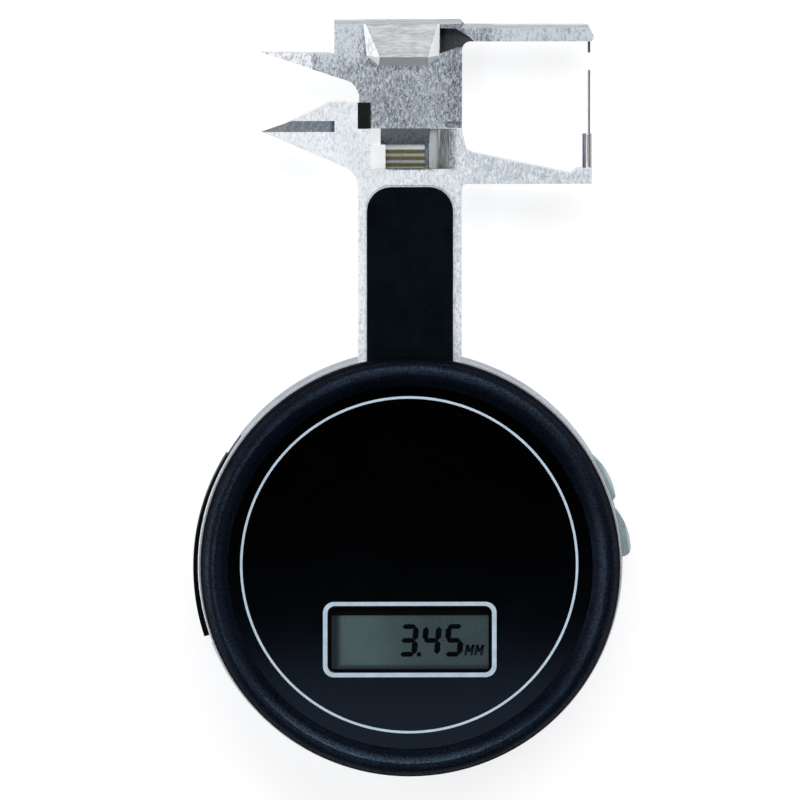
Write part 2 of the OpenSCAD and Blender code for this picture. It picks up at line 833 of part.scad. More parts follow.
module compound_gear() {
    hub_hole_r = 2;
    hub_hole_pos_r = (rack_gear_r + pinion_r) / 2 - 0.4;
    color([0.82, 0.68, 0.35])
    translate([gear_centre[0], gear_centre[1], 0])
    difference() {
        union() {
            translate([0, 0, gear_z])
                linear_extrude(gear_t) polygon(tooth_points(rack_gear_teeth, [0:rack_gear_teeth - 1]));
            rotate([0, 0, mesh_angle + 180])
                translate([0, 0, pinion_z])
                    linear_extrude(pinion_top_z - pinion_z)
                        polygon(tooth_points(pinion_teeth, [0:pinion_teeth - 1]));
            post([0, 0], pinion_r - 1.2, gear_z - 0.1, pinion_z + 0.1);
        }
        post([0, 0], arbor_r + play, gear_z - 1, pinion_top_z + 1);
        for (a = [0:60:300])
            post(polar(hub_hole_pos_r, a), hub_hole_r, gear_z - 1, gear_z + gear_t + 0.1, 32);
    }
}

module gear_arbor() {
    color([0.7, 0.7, 0.72])
    difference() {
        post(gear_centre, arbor_r, case_floor + 0.6, pinion_top_z + 0.6, 40);
        difference() {
            post(gear_centre, arbor_r + 1, clip_z, clip_z + clip_t, 40);
            post(gear_centre, arbor_r - 0.3, clip_z - 1, clip_z + 1, 40);
        }
    }
}

module gear_clip() {
    color([0.3, 0.3, 0.32])
    difference() {
        post(gear_centre, arbor_r + 0.9, clip_z, clip_z + clip_t, 40);
        post(gear_centre, arbor_r - 0.3, clip_z - 1, clip_z + 1, 40);
        translate([gear_centre[0], gear_centre[1] - 2, clip_z])
            block_between([-0.6, -1, -1], [0.6, 2, 1]);
    }
}

// Front outline of the stem and the fixed head with both lower jaws
frame_corners = [
    [-stem_half, tail_y, 0],
    [stem_half, tail_y, 0],
    [stem_half, head_y, 1],
    [right_reach, head_y, 0],
    [right_reach, head_y + 3, 0],
    [right_reach - 2.9, head_y + 3, 0],
    [right_reach - 4, head_y + 2, 0],
    [stem_half + 1, edge_y - 4.6, 2],
    [stem_half + 0.1, edge_y, 0],
    [-stem_half - 0.1, edge_y, 0],
    [-stem_half - 0.1, wall_y, 0],
    [left_root_x - 1, wall_y, 0],
    [left_root_x - 9.6, edge_y + 1.2, 0],
    [-left_reach, lower_tip_y, 0],
    [left_root_x, head_y + 4.2, 0],
    [-stem_half, head_y + 2.2, 4.5]
];

// Cross-section of the window in the head, widening towards the front; below the step its left
// edge reaches further in over the channel
function window_section(step) = [
    [-channel_half + step, channel_roof_z - 1],
    [channel_half, channel_roof_z - 1],
    [channel_half, skin_z],
    [channel_half + window_chamfer, rim_z],
    [channel_half + window_chamfer, rim_z + 1],
    [-channel_half - window_chamfer, rim_z + 1],
    [-channel_half - window_chamfer, rim_z],
    [-channel_half + step, skin_z + step * 0.3]
];

module jaw_frame() {
    panel_space = [
        [-panel_half, tail_y - 1, 0], [panel_half, tail_y - 1, 0],
        [panel_half, inlay_y, panel_corner_r], [-panel_half, inlay_y, panel_corner_r]
    ];
    panel_rim = [
        [-panel_half - 0.4, tail_y - 1, 0], [panel_half + 0.4, tail_y - 1, 0],
        [panel_half + 0.4, inlay_y + 0.4, panel_corner_r + 0.4],
        [-panel_half - 0.4, inlay_y + 0.4, panel_corner_r + 0.4]
    ];
    color([0.88, 0.89, 0.9])
    difference() {
        union() {
            plate(frame_corners, frame_z, rim_z);
            block_between([-tail_half, tail_y, frame_z], [tail_half, tail_flange_y, frame_z + tail_flange_t]);
        }
        block_between([-stem_half - 2.3, pocket_y, frame_z - 1], [stem_half + 3, top_y, skin_z]);
        block_between([-channel_half, tail_y - 1, frame_z - 1], [channel_half, pocket_y + 1, channel_roof_z]);
        block_between([-back_plate_half - play, tail_y - 1, frame_z - 1],
                      [back_plate_half + play, pocket_y - 1.2, frame_z + back_plate_t]);
        along_y(window_step_y, edge_y + 1, window_section(0));
        along_y(window_low_y, window_step_y + 1, window_section(window_step));
        block_between([-channel_half, window_low_y, channel_roof_z - 1], [0, window_step_y + 1, skin_z]);
        plate(panel_space, panel_z, rim_z + 1);
        plate(panel_rim, rim_z - 0.25, rim_z + 1);
        along_x(-left_reach - 2, left_root_x, [
            [head_y, rim_z - facet_depth], [facet_low_y, rim_z - facet_depth],
            [facet_high_y, rim_z + 0.01], [facet_high_y, rim_z + 1], [head_y, rim_z + 1]
        ]);
        for (side = [-1, 1]) {
            post([side * tail_screw[0], tail_screw[1]], screw_r + screw_gap, frame_z - 1, rim_z);
            for (y = plate_screw_ys)
                post([side * plate_screw_x, y], small_screw_r + snug, frame_z, channel_roof_z + 0.4, 24);
        }
        for (y = gib_screw_ys)
            translate([channel_half - 1, y, gib_screw_z])
                rotate([0, 90, 0]) cylinder(h = stem_half, r = gib_screw_r + snug, $fn = 24);
        probe_rod(sleeve_x, sleeve_low_y, sleeve_low_y + sleeve_len, sleeve_r + snug);
        guide_pad_tab(snug);
    }
}

module frame_screws() {
    flange_top_z = frame_z + tail_flange_t;
    color([0.6, 0.6, 0.62])
    for (side = [-1, 1])
        top_screw(
            [side * tail_screw[0], tail_screw[1]],
            2 * screw_r, flange_top_z, flange_top_z + 1.3, screw_r, case_floor + 1
        );
}

module stem_panel() {
    edge = 0.06;
    color([0.05, 0.06, 0.07])
    plate([
        [-panel_half + edge, panel_end_y, 0], [panel_half - edge, panel_end_y, 0],
        [panel_half - edge, inlay_y - edge, panel_corner_r - edge],
        [-panel_half + edge, inlay_y - edge, panel_corner_r - edge]
    ], panel_z, panel_z + panel_t);
}

module stem_back_plate() {
    color([0.8, 0.8, 0.82])
    difference() {
        block_between(
            [-back_plate_half, tail_y, frame_z],
            [back_plate_half, pocket_y - 1.3, frame_z + back_plate_t]
        );
        for (side = [-1, 1], y = plate_screw_ys) {
            post([side * plate_screw_x, y], small_screw_r + play, frame_z - 1, frame_z + 2, 24);
            post([side * plate_screw_x, y], 1.35, frame_z - 1, frame_z + 0.5, 32);
        }
    }
}

module back_plate_screws() {
    color([0.6, 0.6, 0.62])
    for (side = [-1, 1], y = plate_screw_ys)
        socket_screw([side * plate_screw_x, y], 1.3, frame_z, frame_z + 0.5, small_screw_r, channel_roof_z);
}

module gib_strip() {
    color([0.72, 0.73, 0.72])
    block_between([gib_x, tail_y + 0.5, bar_z], [channel_half - 0.02, edge_y - 0.2, channel_roof_z - 0.05]);
}

module gib_screws() {
    color([0.5, 0.5, 0.52])
    for (y = gib_screw_ys)
        translate([channel_half, y, gib_screw_z]) rotate([0, 90, 0])
            difference() {
                cylinder(h = gib_screw_len, r = gib_screw_r, $fn = 24);
                translate([0, 0, gib_screw_len - 1]) cylinder(h = 2, r = 0.4, $fn = 6);
            }
}

// Tab of the guide pad that sits in a groove of the left wall
module guide_pad_tab(gap) {
    block_between([-stem_half - 1.6 - gap, edge_y + 1 - gap, skin_z + 0.5 - gap],
                  [-stem_half + 0.4, wall_y - 1 + gap, skin_z + 1.1 + gap]);
}

module guide_pad() {
    pad_x = -7.8;
    pad_top_z = rim_z - 0.2;
    pad_chamfer = 0.9;
    color([0.03, 0.03, 0.04]) {
        along_y(edge_y, wall_y, [
            [-stem_half - 0.1, skin_z - 0.1], [pad_x, skin_z - 0.1],
            [pad_x, pad_top_z - pad_chamfer], [pad_x - pad_chamfer, pad_top_z],
            [-stem_half - 0.1, pad_top_z]
        ]);
        guide_pad_tab(0);
    }
}

// Rod along Y at x, level with the probe
module probe_rod(x, low, high, r) {
    translate([x, low, probe_z]) rotate([-90, 0, 0]) cylinder(h = high - low, r = r, $fn = 40);
}

// Sleeve whose bore lies beside its middle, so that turning it moves the needle
module probe_sleeve() {
    color([0.85, 0.86, 0.88])
    difference() {
        probe_rod(sleeve_x, sleeve_low_y, sleeve_low_y + sleeve_len, sleeve_r);
        probe_rod(probe_x, needle_low_y, sleeve_low_y + sleeve_len + 1, needle_r + snug);
    }
}

module probe_needle() {
    color([0.45, 0.47, 0.5]) probe_rod(probe_x, needle_low_y, edge_y + needle_tip_y, needle_r);
}

// Front outline of the moving block with both upper jaws
block_corners = [
    [-stem_half + 0.3, edge_y, 0],
    [stem_half + 0.1, edge_y, 0],
    [stem_half + 0.1, arm_bottom_y, 1.8],
    [right_reach, arm_bottom_y, 0],
    [right_reach + 0.4, arm_bottom_y + 0.5, 0],
    [right_reach + 0.4, arm_bottom_y + 1.2, 0],
    [right_reach - 0.7, arm_top_y, 0],
    [stem_half + 0.7, arm_top_y, 0],
    [stem_half - 0.1, top_y, 0],
    [left_root_x, top_y, 0],
    [left_root_x, upper_tip_y - 0.5, 0],
    [left_root_x - 1.2, upper_tip_y - 0.1, 0],
    [-left_reach, upper_tip_y, 0],
    [-stem_half - 0.9, upper_tip_y - 6, 3],
    [-stem_half + 0.3, upper_tip_y - 8.7, 0]
];

// Wedge that chamfers the upper front edge of the block at y, from one x to another
module top_chamfer(x_from, x_to, y, size) {
    along_x(x_from, x_to, [
        [y - size, block_top_z], [y, block_top_z - size],
        [y + 0.5, block_top_z - size], [y + 0.5, block_top_z + 0.5], [y - size, block_top_z + 0.5]
    ]);
}

module jaw_block() {
    tip_facet_x = left_root_x - 4.4;
    tip_facet_depth = 1.5;
    ledge = [2.9, 1.4, 0.9];
    color([0.62, 0.64, 0.67])
    difference() {
        union() {
            plate(block_corners, block_z, block_top_z);
            along_x(bar_x, bar_right_x, [
                [tongue_y, bar_top_z], [edge_y + 1, bar_top_z],
                [edge_y + 1, block_top_z], [edge_y, block_top_z], [tongue_y, bar_top_z + 1]
            ]);
        }
        block_between(
            [bar_x - snug, edge_y - 1, block_z - 1],
            [bar_right_x + snug, bar_high_y + snug, bar_top_z]
        );
        block_between(
            [bar_right_x - 0.1, edge_y - 1, block_z - 1],
            [channel_half + 0.1, edge_y + slide_down + 0.4, channel_roof_z]
        );
        intersection() {
            plate(scoop_outline, block_top_z - scoop_depth - 1, block_top_z + 1);
            along_y(top_y - 8, top_y, [
                [scoop_x, block_top_z + 0.1], [scoop_x, block_top_z - scoop_depth],
                [scoop_end_x, block_top_z], [scoop_end_x, block_top_z + 0.1]
            ]);
        }
        along_y(upper_tip_y - 4, upper_tip_y + 1, [
            [tip_facet_x, block_top_z], [-left_reach - 1, block_top_z - tip_facet_depth],
            [-left_reach - 1, block_top_z + 1], [tip_facet_x, block_top_z + 1]
        ]);
        top_chamfer(left_root_x - 1, stem_half + 0.1, top_y, block_chamfer);
        top_chamfer(stem_half + 0.1, right_reach + 1, arm_top_y, arm_chamfer);
        block_between([stem_half + 0.1 - ledge[0], edge_y - 1, block_top_z - ledge[2]],
                      [stem_half + 1, edge_y + ledge[1], block_top_z + 1]);
        for (y = slide_screw_ys)
            post([bar_mid_x, y], small_screw_r + snug, bar_top_z - 1, block_top_z - 0.4, 24);
        for (p = catch_screw_places) {
            post(p, small_screw_r + play, block_z - 1, block_top_z + 1, 24);
            post(p, small_head_r + play, block_z - 1, block_z + 1, 32);
        }
        probe_rod(probe_x, arm_bottom_y - 1, arm_bottom_y + 2.2, pin_r + snug);
    }
}

// Corners of the foot and of the crown of the finger catch, each as [x, y]
catch_base = [
    [-9.3, catch_top_y], [-8.6, catch_mid_y + 0.2], [-6.2, catch_low_y],
    [3.8, catch_low_y], [5.8, catch_mid_y + 0.2], [5.95, catch_top_y]
];
catch_crown = [[-8.8, catch_top_y], [-6, catch_mid_y], [3.6, catch_mid_y], [5.5, catch_top_y]];

module finger_catch() {
    crown_top_z = block_top_z + 0.5;
    crown_low_z = block_top_z + catch_h;
    color([0.8, 0.81, 0.8])
    difference() {
        polyhedron(
            points = concat(
                [for (p = catch_base) [p[0], p[1], block_top_z]],
                [
                    [catch_crown[0][0], catch_crown[0][1], crown_top_z],
                    [catch_crown[1][0], catch_crown[1][1], crown_low_z],
                    [catch_crown[2][0], catch_crown[2][1], crown_low_z],
                    [catch_crown[3][0], catch_crown[3][1], crown_top_z]
                ]
            ),
            faces = [
                [0, 1, 2, 3, 4, 5], [6, 9, 8], [6, 8, 7], [0, 5, 9, 6],
                [1, 0, 6], [1, 6, 7], [2, 1, 7], [3, 2, 7], [3, 7, 8],
                [4, 3, 8], [4, 8, 9], [5, 4, 9]
            ]
        );
        for (p = catch_screw_places) post(p, small_screw_r + snug, block_top_z - 1, block_top_z + 1.3, 24);
    }
}

module catch_screws() {
    color([0.6, 0.6, 0.62])
    for (p = catch_screw_places)
        socket_screw(p, small_head_r, block_z + 0.1, block_z + 1, small_screw_r, block_top_z + 1.2);
}

// Slide bar with the rack cut into its left edge
module slide_bar() {
    valley_half = rack_pitch / 4 + backlash / 4;
    flank = tan(pressure_angle);
    first = ceil((rack_low_y - gear_y) / rack_pitch);
    last = floor((rack_high_y - gear_y) / rack_pitch);
    color([0.7, 0.71, 0.73])
    difference() {
        block_between([bar_x, bar_low_y, bar_z], [bar_right_x, bar_high_y, bar_top_z]);
        for (k = [first:last])
            translate([rack_line_x, gear_y + k * rack_pitch, bar_z - 1])
                linear_extrude(bar_t + 2)
                    polygon([
                        [-addendum - 0.2, -valley_half - flank * (addendum + 0.2)],
                        [dedendum, -valley_half + flank * dedendum],
                        [dedendum, valley_half - flank * dedendum],
                        [-addendum - 0.2, valley_half + flank * (addendum + 0.2)]
                    ]);
        for (y = slide_screw_ys) {
            post([bar_mid_x, y], small_screw_r + play, bar_z - 1, bar_top_z + 1, 24);
            post([bar_mid_x, y], small_head_r + play, bar_z - 1, bar_z + 0.9, 32);
        }
    }
}

module slide_screws() {
    color([0.6, 0.6, 0.62])
    for (y = slide_screw_ys)
        socket_screw(
            [bar_mid_x, y],
            small_head_r, bar_z - 0.1, bar_z + 0.9, small_screw_r, block_top_z - 0.6
        );
}

module scale_strip() {
    color([0.75, 0.76, 0.72])
    block_between(
        [bar_x + strip_inset, strip_low_y, bar_top_z],
        [bar_right_x - strip_inset, strip_high_y, strip_top_z]
    );
}

module scale_bars() {
    count = floor((strip_high_y - strip_inset_top - strip_low_y - 0.5) / trace_pitch);
    color([0.78, 0.62, 0.25])
    for (k = [0:count - 1])
        translate([0, strip_high_y - strip_inset_top - k * trace_pitch, 0])
            block_between(
                [bar_x + strip_inset, -trace_w, strip_top_z],
                [bar_right_x - strip_inset, 0, trace_top_z]
            );
}

module contact_pin() {
    color([0.25, 0.26, 0.28]) probe_rod(probe_x, pin_tip_y, arm_bottom_y + 2, pin_r);
}

rear_case();
front_bezel();
face_plate();
lcd_glass();
lcd_holder();
zebra_strips();
main_board();
reader_board();
board_header();
button_switches();
power_button();
zero_button();
coin_cell();
battery_holder();
battery_contacts();
battery_door();
case_screws();
thumb_pad();
lever_plate();
pad_screws();
lever_pivot();
lever_spring();
compound_gear();
gear_arbor();
gear_clip();
jaw_frame();
frame_screws();
stem_panel();
stem_back_plate();
back_plate_screws();
gib_strip();
gib_screws();
guide_pad();
probe_sleeve();
probe_needle();
jaw_block();
finger_catch();
catch_screws();
slide_bar();
slide_screws();
scale_strip();
scale_bars();
contact_pin();
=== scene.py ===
import json
import math

import bmesh
import bpy
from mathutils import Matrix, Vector


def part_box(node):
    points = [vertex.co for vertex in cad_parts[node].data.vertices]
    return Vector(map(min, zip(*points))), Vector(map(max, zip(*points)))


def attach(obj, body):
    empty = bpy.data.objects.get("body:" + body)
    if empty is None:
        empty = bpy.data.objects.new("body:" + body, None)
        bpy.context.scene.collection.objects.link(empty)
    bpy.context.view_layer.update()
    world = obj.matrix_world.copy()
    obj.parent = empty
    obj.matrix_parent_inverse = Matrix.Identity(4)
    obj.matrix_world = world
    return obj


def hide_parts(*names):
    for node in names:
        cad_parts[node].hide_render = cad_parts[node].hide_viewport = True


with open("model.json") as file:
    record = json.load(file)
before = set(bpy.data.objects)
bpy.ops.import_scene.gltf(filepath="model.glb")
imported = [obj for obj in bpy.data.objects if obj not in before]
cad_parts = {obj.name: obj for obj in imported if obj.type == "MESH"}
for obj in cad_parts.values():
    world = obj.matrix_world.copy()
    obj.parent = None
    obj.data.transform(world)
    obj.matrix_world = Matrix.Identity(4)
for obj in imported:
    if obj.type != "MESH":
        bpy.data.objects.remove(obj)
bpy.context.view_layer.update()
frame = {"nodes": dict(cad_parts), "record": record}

MM = 0.001
WHITE = (1.0, 1.0, 1.0)
FADE = (1.0, 0.0)
NODES = frame["nodes"]
RECORD = frame["record"]
SLOT_OF = {part["node"]: part["material_slot"] for part in RECORD["subparts"]}
BODY_OF = {
    node: body
    for body, members in RECORD["behaviour"]["bodies"].items()
    for node in members
}

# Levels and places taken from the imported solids; the crest lies BEZEL_BAND inside the bezel's edge
FACE_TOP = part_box("face_plate")[1].z
GLASS_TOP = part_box("lcd_glass")[1].z
BEZEL_BAND = 2.8 * MM
CREST_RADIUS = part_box("front_bezel")[1].x - BEZEL_BAND
BAR_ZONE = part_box("scale_bars")
GIB_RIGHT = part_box("gib_strip")[1].x
SLEEVE_SIDES = [corner.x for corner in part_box("probe_sleeve")]

# Each of these pairs says where a change of colour or sheen begins and ends, in millimetres.
# The bezel's painted sheen, a painted highlight along its crest that is cut back inside it and towards
# its outer edge, rises, falls and ends at these distances outside its crest
PAINTED_SHEEN_INNER = (-1.6, -0.2)
PAINTED_SHEEN_OUTER = (0.2, 0.8)
PAINTED_SHEEN_EDGE = (1.4, 2.4)

# On the moving block: its paler arm, the painted highlight on its upper left corner, and the painted
# shade on its right side and on its tongue
ARM_X = (15.0, 18.5)
HIGHLIGHT_CORNER_X = (-11.2, -8.5)
HIGHLIGHT_CORNER_Y = (98.5, 104.5)
SHADE_SIDE_X = (5.0, 8.5)
SHADE_SIDE_EDGE_X = (10.4, 11.2)
TONGUE_SHADE_Y = (84.0, 86.6)

# On the frame: the painted light that makes it lighter towards the left and darker towards its right
# arm, the painted shade on the patch beside the window and on the line below it, and the painted shade
# at the end of the jaw's facet
LIGHT_SLOPE_X = (-12.0, 20.0)
SHADE_PATCH_LEFT_X = (7.6, 7.8)
SHADE_PATCH_RIGHT_X = (7.8, 10.1)
SHADE_PATCH_LOW_Y = (78.6, 79.6)
SHADE_PATCH_HIGH_Y = (87.3, 87.4)
SHADE_LINE_LEFT_X = (-4.8, -4.4)
SHADE_LINE_RIGHT_X = (4.2, 4.6)
SHADE_LINE_LOW_Y = (78.9, 79.0)
SHADE_LINE_HIGH_Y = (79.4, 79.5)
FACET_SHADE_END_X = (-16.0, -15.4)

# On the display: its fade, and the painted shadow along its left and lower edge; and beside the right
# edge of the rail for its stain
GLASS_FADE_X = (-12.0, 4.0)
GLASS_SHADOW_LEFT_X = (-14.9, -13.3)
GLASS_SHADOW_LOW_Y = (-20.0, -19.2)
STAIN_X = (-0.6, -0.3)

# The width of the change beside the strip's bars, and how much paler the jaw's tip is all over
BAR_MARGIN = 0.2 * MM
TIP_PALER = 0.381


class Surface:
    """A procedural material: texture nodes lead to one Principled shader."""

    def __init__(self, name, **constants):
        self.material = bpy.data.materials.new(name)
        self.material.use_nodes = True
        self.tree = self.material.node_tree
        self.shader = self.tree.nodes["Principled BSDF"]
        self.place = self.make("ShaderNodeTexCoord").outputs["Object"]
        for socket, value in constants.items():
            self.shader.inputs[socket.replace("_", " ")].default_value = value

    def make(self, kind, inputs=(), **settings):
        """A new node with its settings and with values or links on its inputs."""
        node = self.tree.nodes.new(kind)
        for key, value in settings.items():
            setattr(node, key, value)
        for key, value in dict(inputs).items():
            self.feed(node.inputs[key], value)
        return node

    def feed(self, socket, value):
        """Links an output to a socket, or sets a plain value on it."""
        if isinstance(value, bpy.types.NodeSocket):
            self.tree.links.new(value, socket)
        else:
            socket.default_value = value

    def scaled(self, size):
        """Object coordinates with one unit per size in millimetres along x, y and z."""
        scale = [1 / (s * MM) for s in size]
        return self.make("ShaderNodeMapping", {"Vector": self.place, "Scale": scale}).outputs["Vector"]

    def noise(self, size, detail=2.0, rough=0.5, warp=0.0):
        """Noise whose features have the given size in millimetres."""
        size = (size,) * 3 if isinstance(size, (int, float)) else size
        return self.make(
            "ShaderNodeTexNoise",
            {
                "Vector": self.scaled(size),
                "Scale": 1.0,
                "Detail": detail,
                "Roughness": rough,
                "Distortion": warp,
            },
        ).outputs["Fac"]

    def cells(self, size):
        """Distance to the nearest cell point, cells of the given size in millimetres."""
        return self.make(
            "ShaderNodeTexVoronoi", {"Vector": self.scaled((size,) * 3), "Scale": 1.0}
        ).outputs["Distance"]

    def span(self, value, low, high, to_low=0.0, to_high=1.0, smooth=False):
        """A value mapped from one range to another and held at its ends."""
        node = self.make(
            "ShaderNodeMapRange",
            {"Value": value, "From Min": low, "From Max": high, "To Min": to_low, "To Max": to_high},
            clamp=True,
        )
        node.interpolation_type = "SMOOTHSTEP" if smooth else "LINEAR"
        return node.outputs["Result"]

    def ramp(self, length, places, values=(0.0, 1.0), smooth=False):
        """A value that changes while a length passes from one place to another in millimetres."""
        low, high = places
        return self.span(length, low * MM, high * MM, *values, smooth)

    def calc(self, operation, a, b=0.0):
        """The result of a sum, product or other operation of the math node."""
        return self.make("ShaderNodeMath", {0: a, 1: b}, operation=operation).outputs[0]

    def product(self, *values):
        """The values multiplied with one another."""
        total = values[0]
        for value in values[1:]:
            total = self.calc("MULTIPLY", total, value)
        return total

    def mix(self, factor, a, b):
        """A colour between two colours, each a triple or another node's output."""
        node = self.make("ShaderNodeMix", data_type="RGBA", clamp_factor=True)
        self.feed(node.inputs[0], factor)
        for socket, value in ((node.inputs[6], a), (node.inputs[7], b)):
            if isinstance(value, bpy.types.NodeSocket):
                self.feed(socket, value)
            else:
                socket.default_value = (*value, 1.0)
        return node.outputs[2]

    def axis(self, name):
        """The object coordinate along X, Y or Z."""
        return self.make("ShaderNodeSeparateXYZ", {0: self.place}).outputs[name]

    def blend(self, *weighted):
        """Sum of values, each multiplied by its weight."""
        total = self.calc("MULTIPLY", *weighted[0])
        for value, weight in weighted[1:]:
            total = self.calc("ADD", total, self.calc("MULTIPLY", value, weight))
        return total

    def color(self, value):
        """Sets the base colour."""
        self.feed(self.shader.inputs["Base Color"], value)
        return self

    def gloss(self, value):
        """Sets the roughness."""
        self.feed(self.shader.inputs["Roughness"], value)
        return self

    def bump(self, height, depth_mm, strength=1.0):
        """Sets a relief of the given depth."""
        node = self.make(
            "ShaderNodeBump", {"Height": height, "Distance": depth_mm * MM, "Strength": strength}
        )
        self.feed(self.shader.inputs["Normal"], node.outputs["Normal"])
        return self


# Materials


def blasted_metal(name, dark, light, fleck, rough, depth, contrast, clouds, zones=None):
    """Blasted metal: flecks of the given size in millimetres over a cloudy tone.

    zones gives a value that makes places paler or, where negative, darker.
    """
    s = Surface(name, Metallic=1.0)
    flecks = s.noise(fleck, 3.0, 0.6, 0.9)
    cloud = s.noise(7.0, 2.0)
    tone = s.blend((flecks, 1.0 - clouds), (cloud, clouds))
    factor = s.span(tone, 0.5 - contrast, 0.5 + contrast)
    if zones:
        factor = s.calc("ADD", factor, zones(s))
        deep = tuple(0.3 * value for value in dark)
        dark = s.mix(s.span(factor, -1.0, 0.0), deep, dark)
    s.color(s.mix(factor, dark, light))
    s.gloss(s.span(tone, 0.4, 0.6, *rough))
    return s.bump(flecks, depth).material


def block_zones(s):
    """The arm of the block is paler, its upper left corner has a painted highlight, and its right side
    has painted shade.
    """
    x, y = s.axis("X"), s.axis("Y")
    arm = s.ramp(x, ARM_X, (0.0, 0.42), True)
    corner = s.product(s.ramp(x, HIGHLIGHT_CORNER_X, FADE, True), s.ramp(y, HIGHLIGHT_CORNER_Y, (0.05, 0.5), True))
    right = s.product(s.ramp(x, SHADE_SIDE_X), s.ramp(x, SHADE_SIDE_EDGE_X, (-0.24, 0.0)))
    return s.calc("ADD", s.calc("ADD", arm, corner), right)


def frame_zones(s):
    """Painted light makes the frame lighter towards the left and darker towards its right arm; painted
    shade darkens a patch beside the window and a line below it.
    """
    x, y = s.axis("X"), s.axis("Y")
    light_slope = s.ramp(x, LIGHT_SLOPE_X, (0.40, -0.04), True)
    shade_patch = s.product(
        s.ramp(x, SHADE_PATCH_RIGHT_X, FADE, True), s.ramp(y, SHADE_PATCH_LOW_Y, smooth=True),
        s.ramp(x, SHADE_PATCH_LEFT_X), s.ramp(y, SHADE_PATCH_HIGH_Y, FADE),
    )
    shade_line = s.product(
        s.ramp(x, SHADE_LINE_LEFT_X), s.ramp(x, SHADE_LINE_RIGHT_X, FADE),
        s.ramp(y, SHADE_LINE_LOW_Y), s.ramp(y, SHADE_LINE_HIGH_Y, FADE),
    )
    return s.calc("ADD", light_slope, s.calc("MULTIPLY", s.calc("MAXIMUM", shade_patch, shade_line), -1.35))


def brushed_metal(name, dark, light, grain, rough, depth=0.004):
    """Metal with fine lines; grain gives the size of a line along x, y and z."""
    s = Surface(name, Metallic=1.0)
    lines = s.noise(grain, 3.0, 0.6)
    broad = s.noise([4.0 * g for g in grain], 2.0)
    tone = s.blend((lines, 0.65), (broad, 0.35))
    s.color(s.mix(s.span(tone, 0.4, 0.6), dark, light))
    s.gloss(s.span(tone, 0.4, 0.6, *rough))
    return s.bump(tone, depth).material


def satin_case():
    """Satin metal of the case, with fine marks around its side."""
    s = Surface("case_satin", Metallic=1.0)
    grain = s.noise(0.2, 3.0, 0.6)
    clouds = s.noise(9.0, 2.0)
    rubs = s.noise((0.5, 0.5, 14.0), 2.0, 0.6, 0.4)
    tone = s.blend((grain, 0.5), (clouds, 0.3), (rubs, 0.2))
    s.color(s.mix(s.span(tone, 0.4, 0.6), (0.25, 0.285, 0.34), (0.40, 0.44, 0.50)))
    s.gloss(s.span(tone, 0.4, 0.6, 0.5, 0.38))
    return s.bump(grain, 0.006).material


def case_rim_painted_highlight():
    """The turned top edge of the case, with a painted highlight that makes it paler than its side."""
    s = Surface("case_rim_painted_highlight", Metallic=1.0)
    grain = s.noise((0.3, 0.3, 0.12), 3.0, 0.6)
    s.color(s.mix(s.span(grain, 0.4, 0.6), (0.52, 0.55, 0.60), (0.66, 0.69, 0.73)))
    s.gloss(s.span(grain, 0.4, 0.6, 0.72, 0.6))
    return s.bump(grain, 0.004).material


def bezel_plastic():
    """Dark blue-black plastic with a spark-eroded grain; a painted highlight raises its sheen along the
    crest and lowers it inside and towards the edge.
    """
    s = Surface("bezel_grain", Metallic=0.0, Specular_Tint=(0.45, 0.68, 1.0, 1.0))
    grain = s.noise(0.36, 3.0, 0.6)
    clouds = s.noise(8.0, 2.0)
    tone = s.blend((grain, 0.85), (clouds, 0.15))
    x, y = s.axis("X"), s.axis("Y")
    radius = s.calc("SQRT", s.calc("ADD", s.product(x, x), s.product(y, y)))
    outside = s.calc("SUBTRACT", radius, CREST_RADIUS)
    painted_sheen = s.product(
        s.span(tone, 0.40, 0.60, 0.16, 0.48), s.ramp(outside, PAINTED_SHEEN_INNER, (0.10, 1.15)),
        s.ramp(outside, PAINTED_SHEEN_OUTER, (1.0, 0.45)), s.ramp(outside, PAINTED_SHEEN_EDGE, (1.0, 0.04)),
    )
    s.color(s.mix(s.span(tone, 0.40, 0.60), (0.0008, 0.0013, 0.0026), (0.0038, 0.0064, 0.0140)))
    s.feed(s.shader.inputs["Specular IOR Level"], painted_sheen)
    s.gloss(s.span(tone, 0.4, 0.6, 0.42, 0.30))
    return s.bump(grain, 0.035).material


def bezel_shadow():
    """The lower side of the bezel in painted shade, dull and nearly black."""
    s = Surface("bezel_lower_side_painted_shade", Metallic=0.0, Specular_IOR_Level=0.02)
    grain = s.noise(0.36, 3.0, 0.6)
    s.color(s.mix(s.span(grain, 0.4, 0.6), (0.0006, 0.0009, 0.0016), (0.0020, 0.0028, 0.0045)))
    s.gloss(s.span(grain, 0.4, 0.6, 0.9, 0.8))
    return s.bump(grain, 0.02).material


def dial_gloss():
    """Polished black plate with faint smudges and dust."""
    s = Surface("dial_gloss", Metallic=0.0)
    smudge = s.noise(11.0, 3.0, 0.6, 0.6)
    dust = s.noise(0.28, 1.0)
    s.color(s.mix(s.span(dust, 0.74, 0.8), (0.0001, 0.0001, 0.00015), (0.003, 0.0034, 0.004)))
    s.gloss(s.span(smudge, 0.4, 0.7, 0.080, 0.096))
    return s.bump(s.noise(24.0, 1.0), 0.003).material


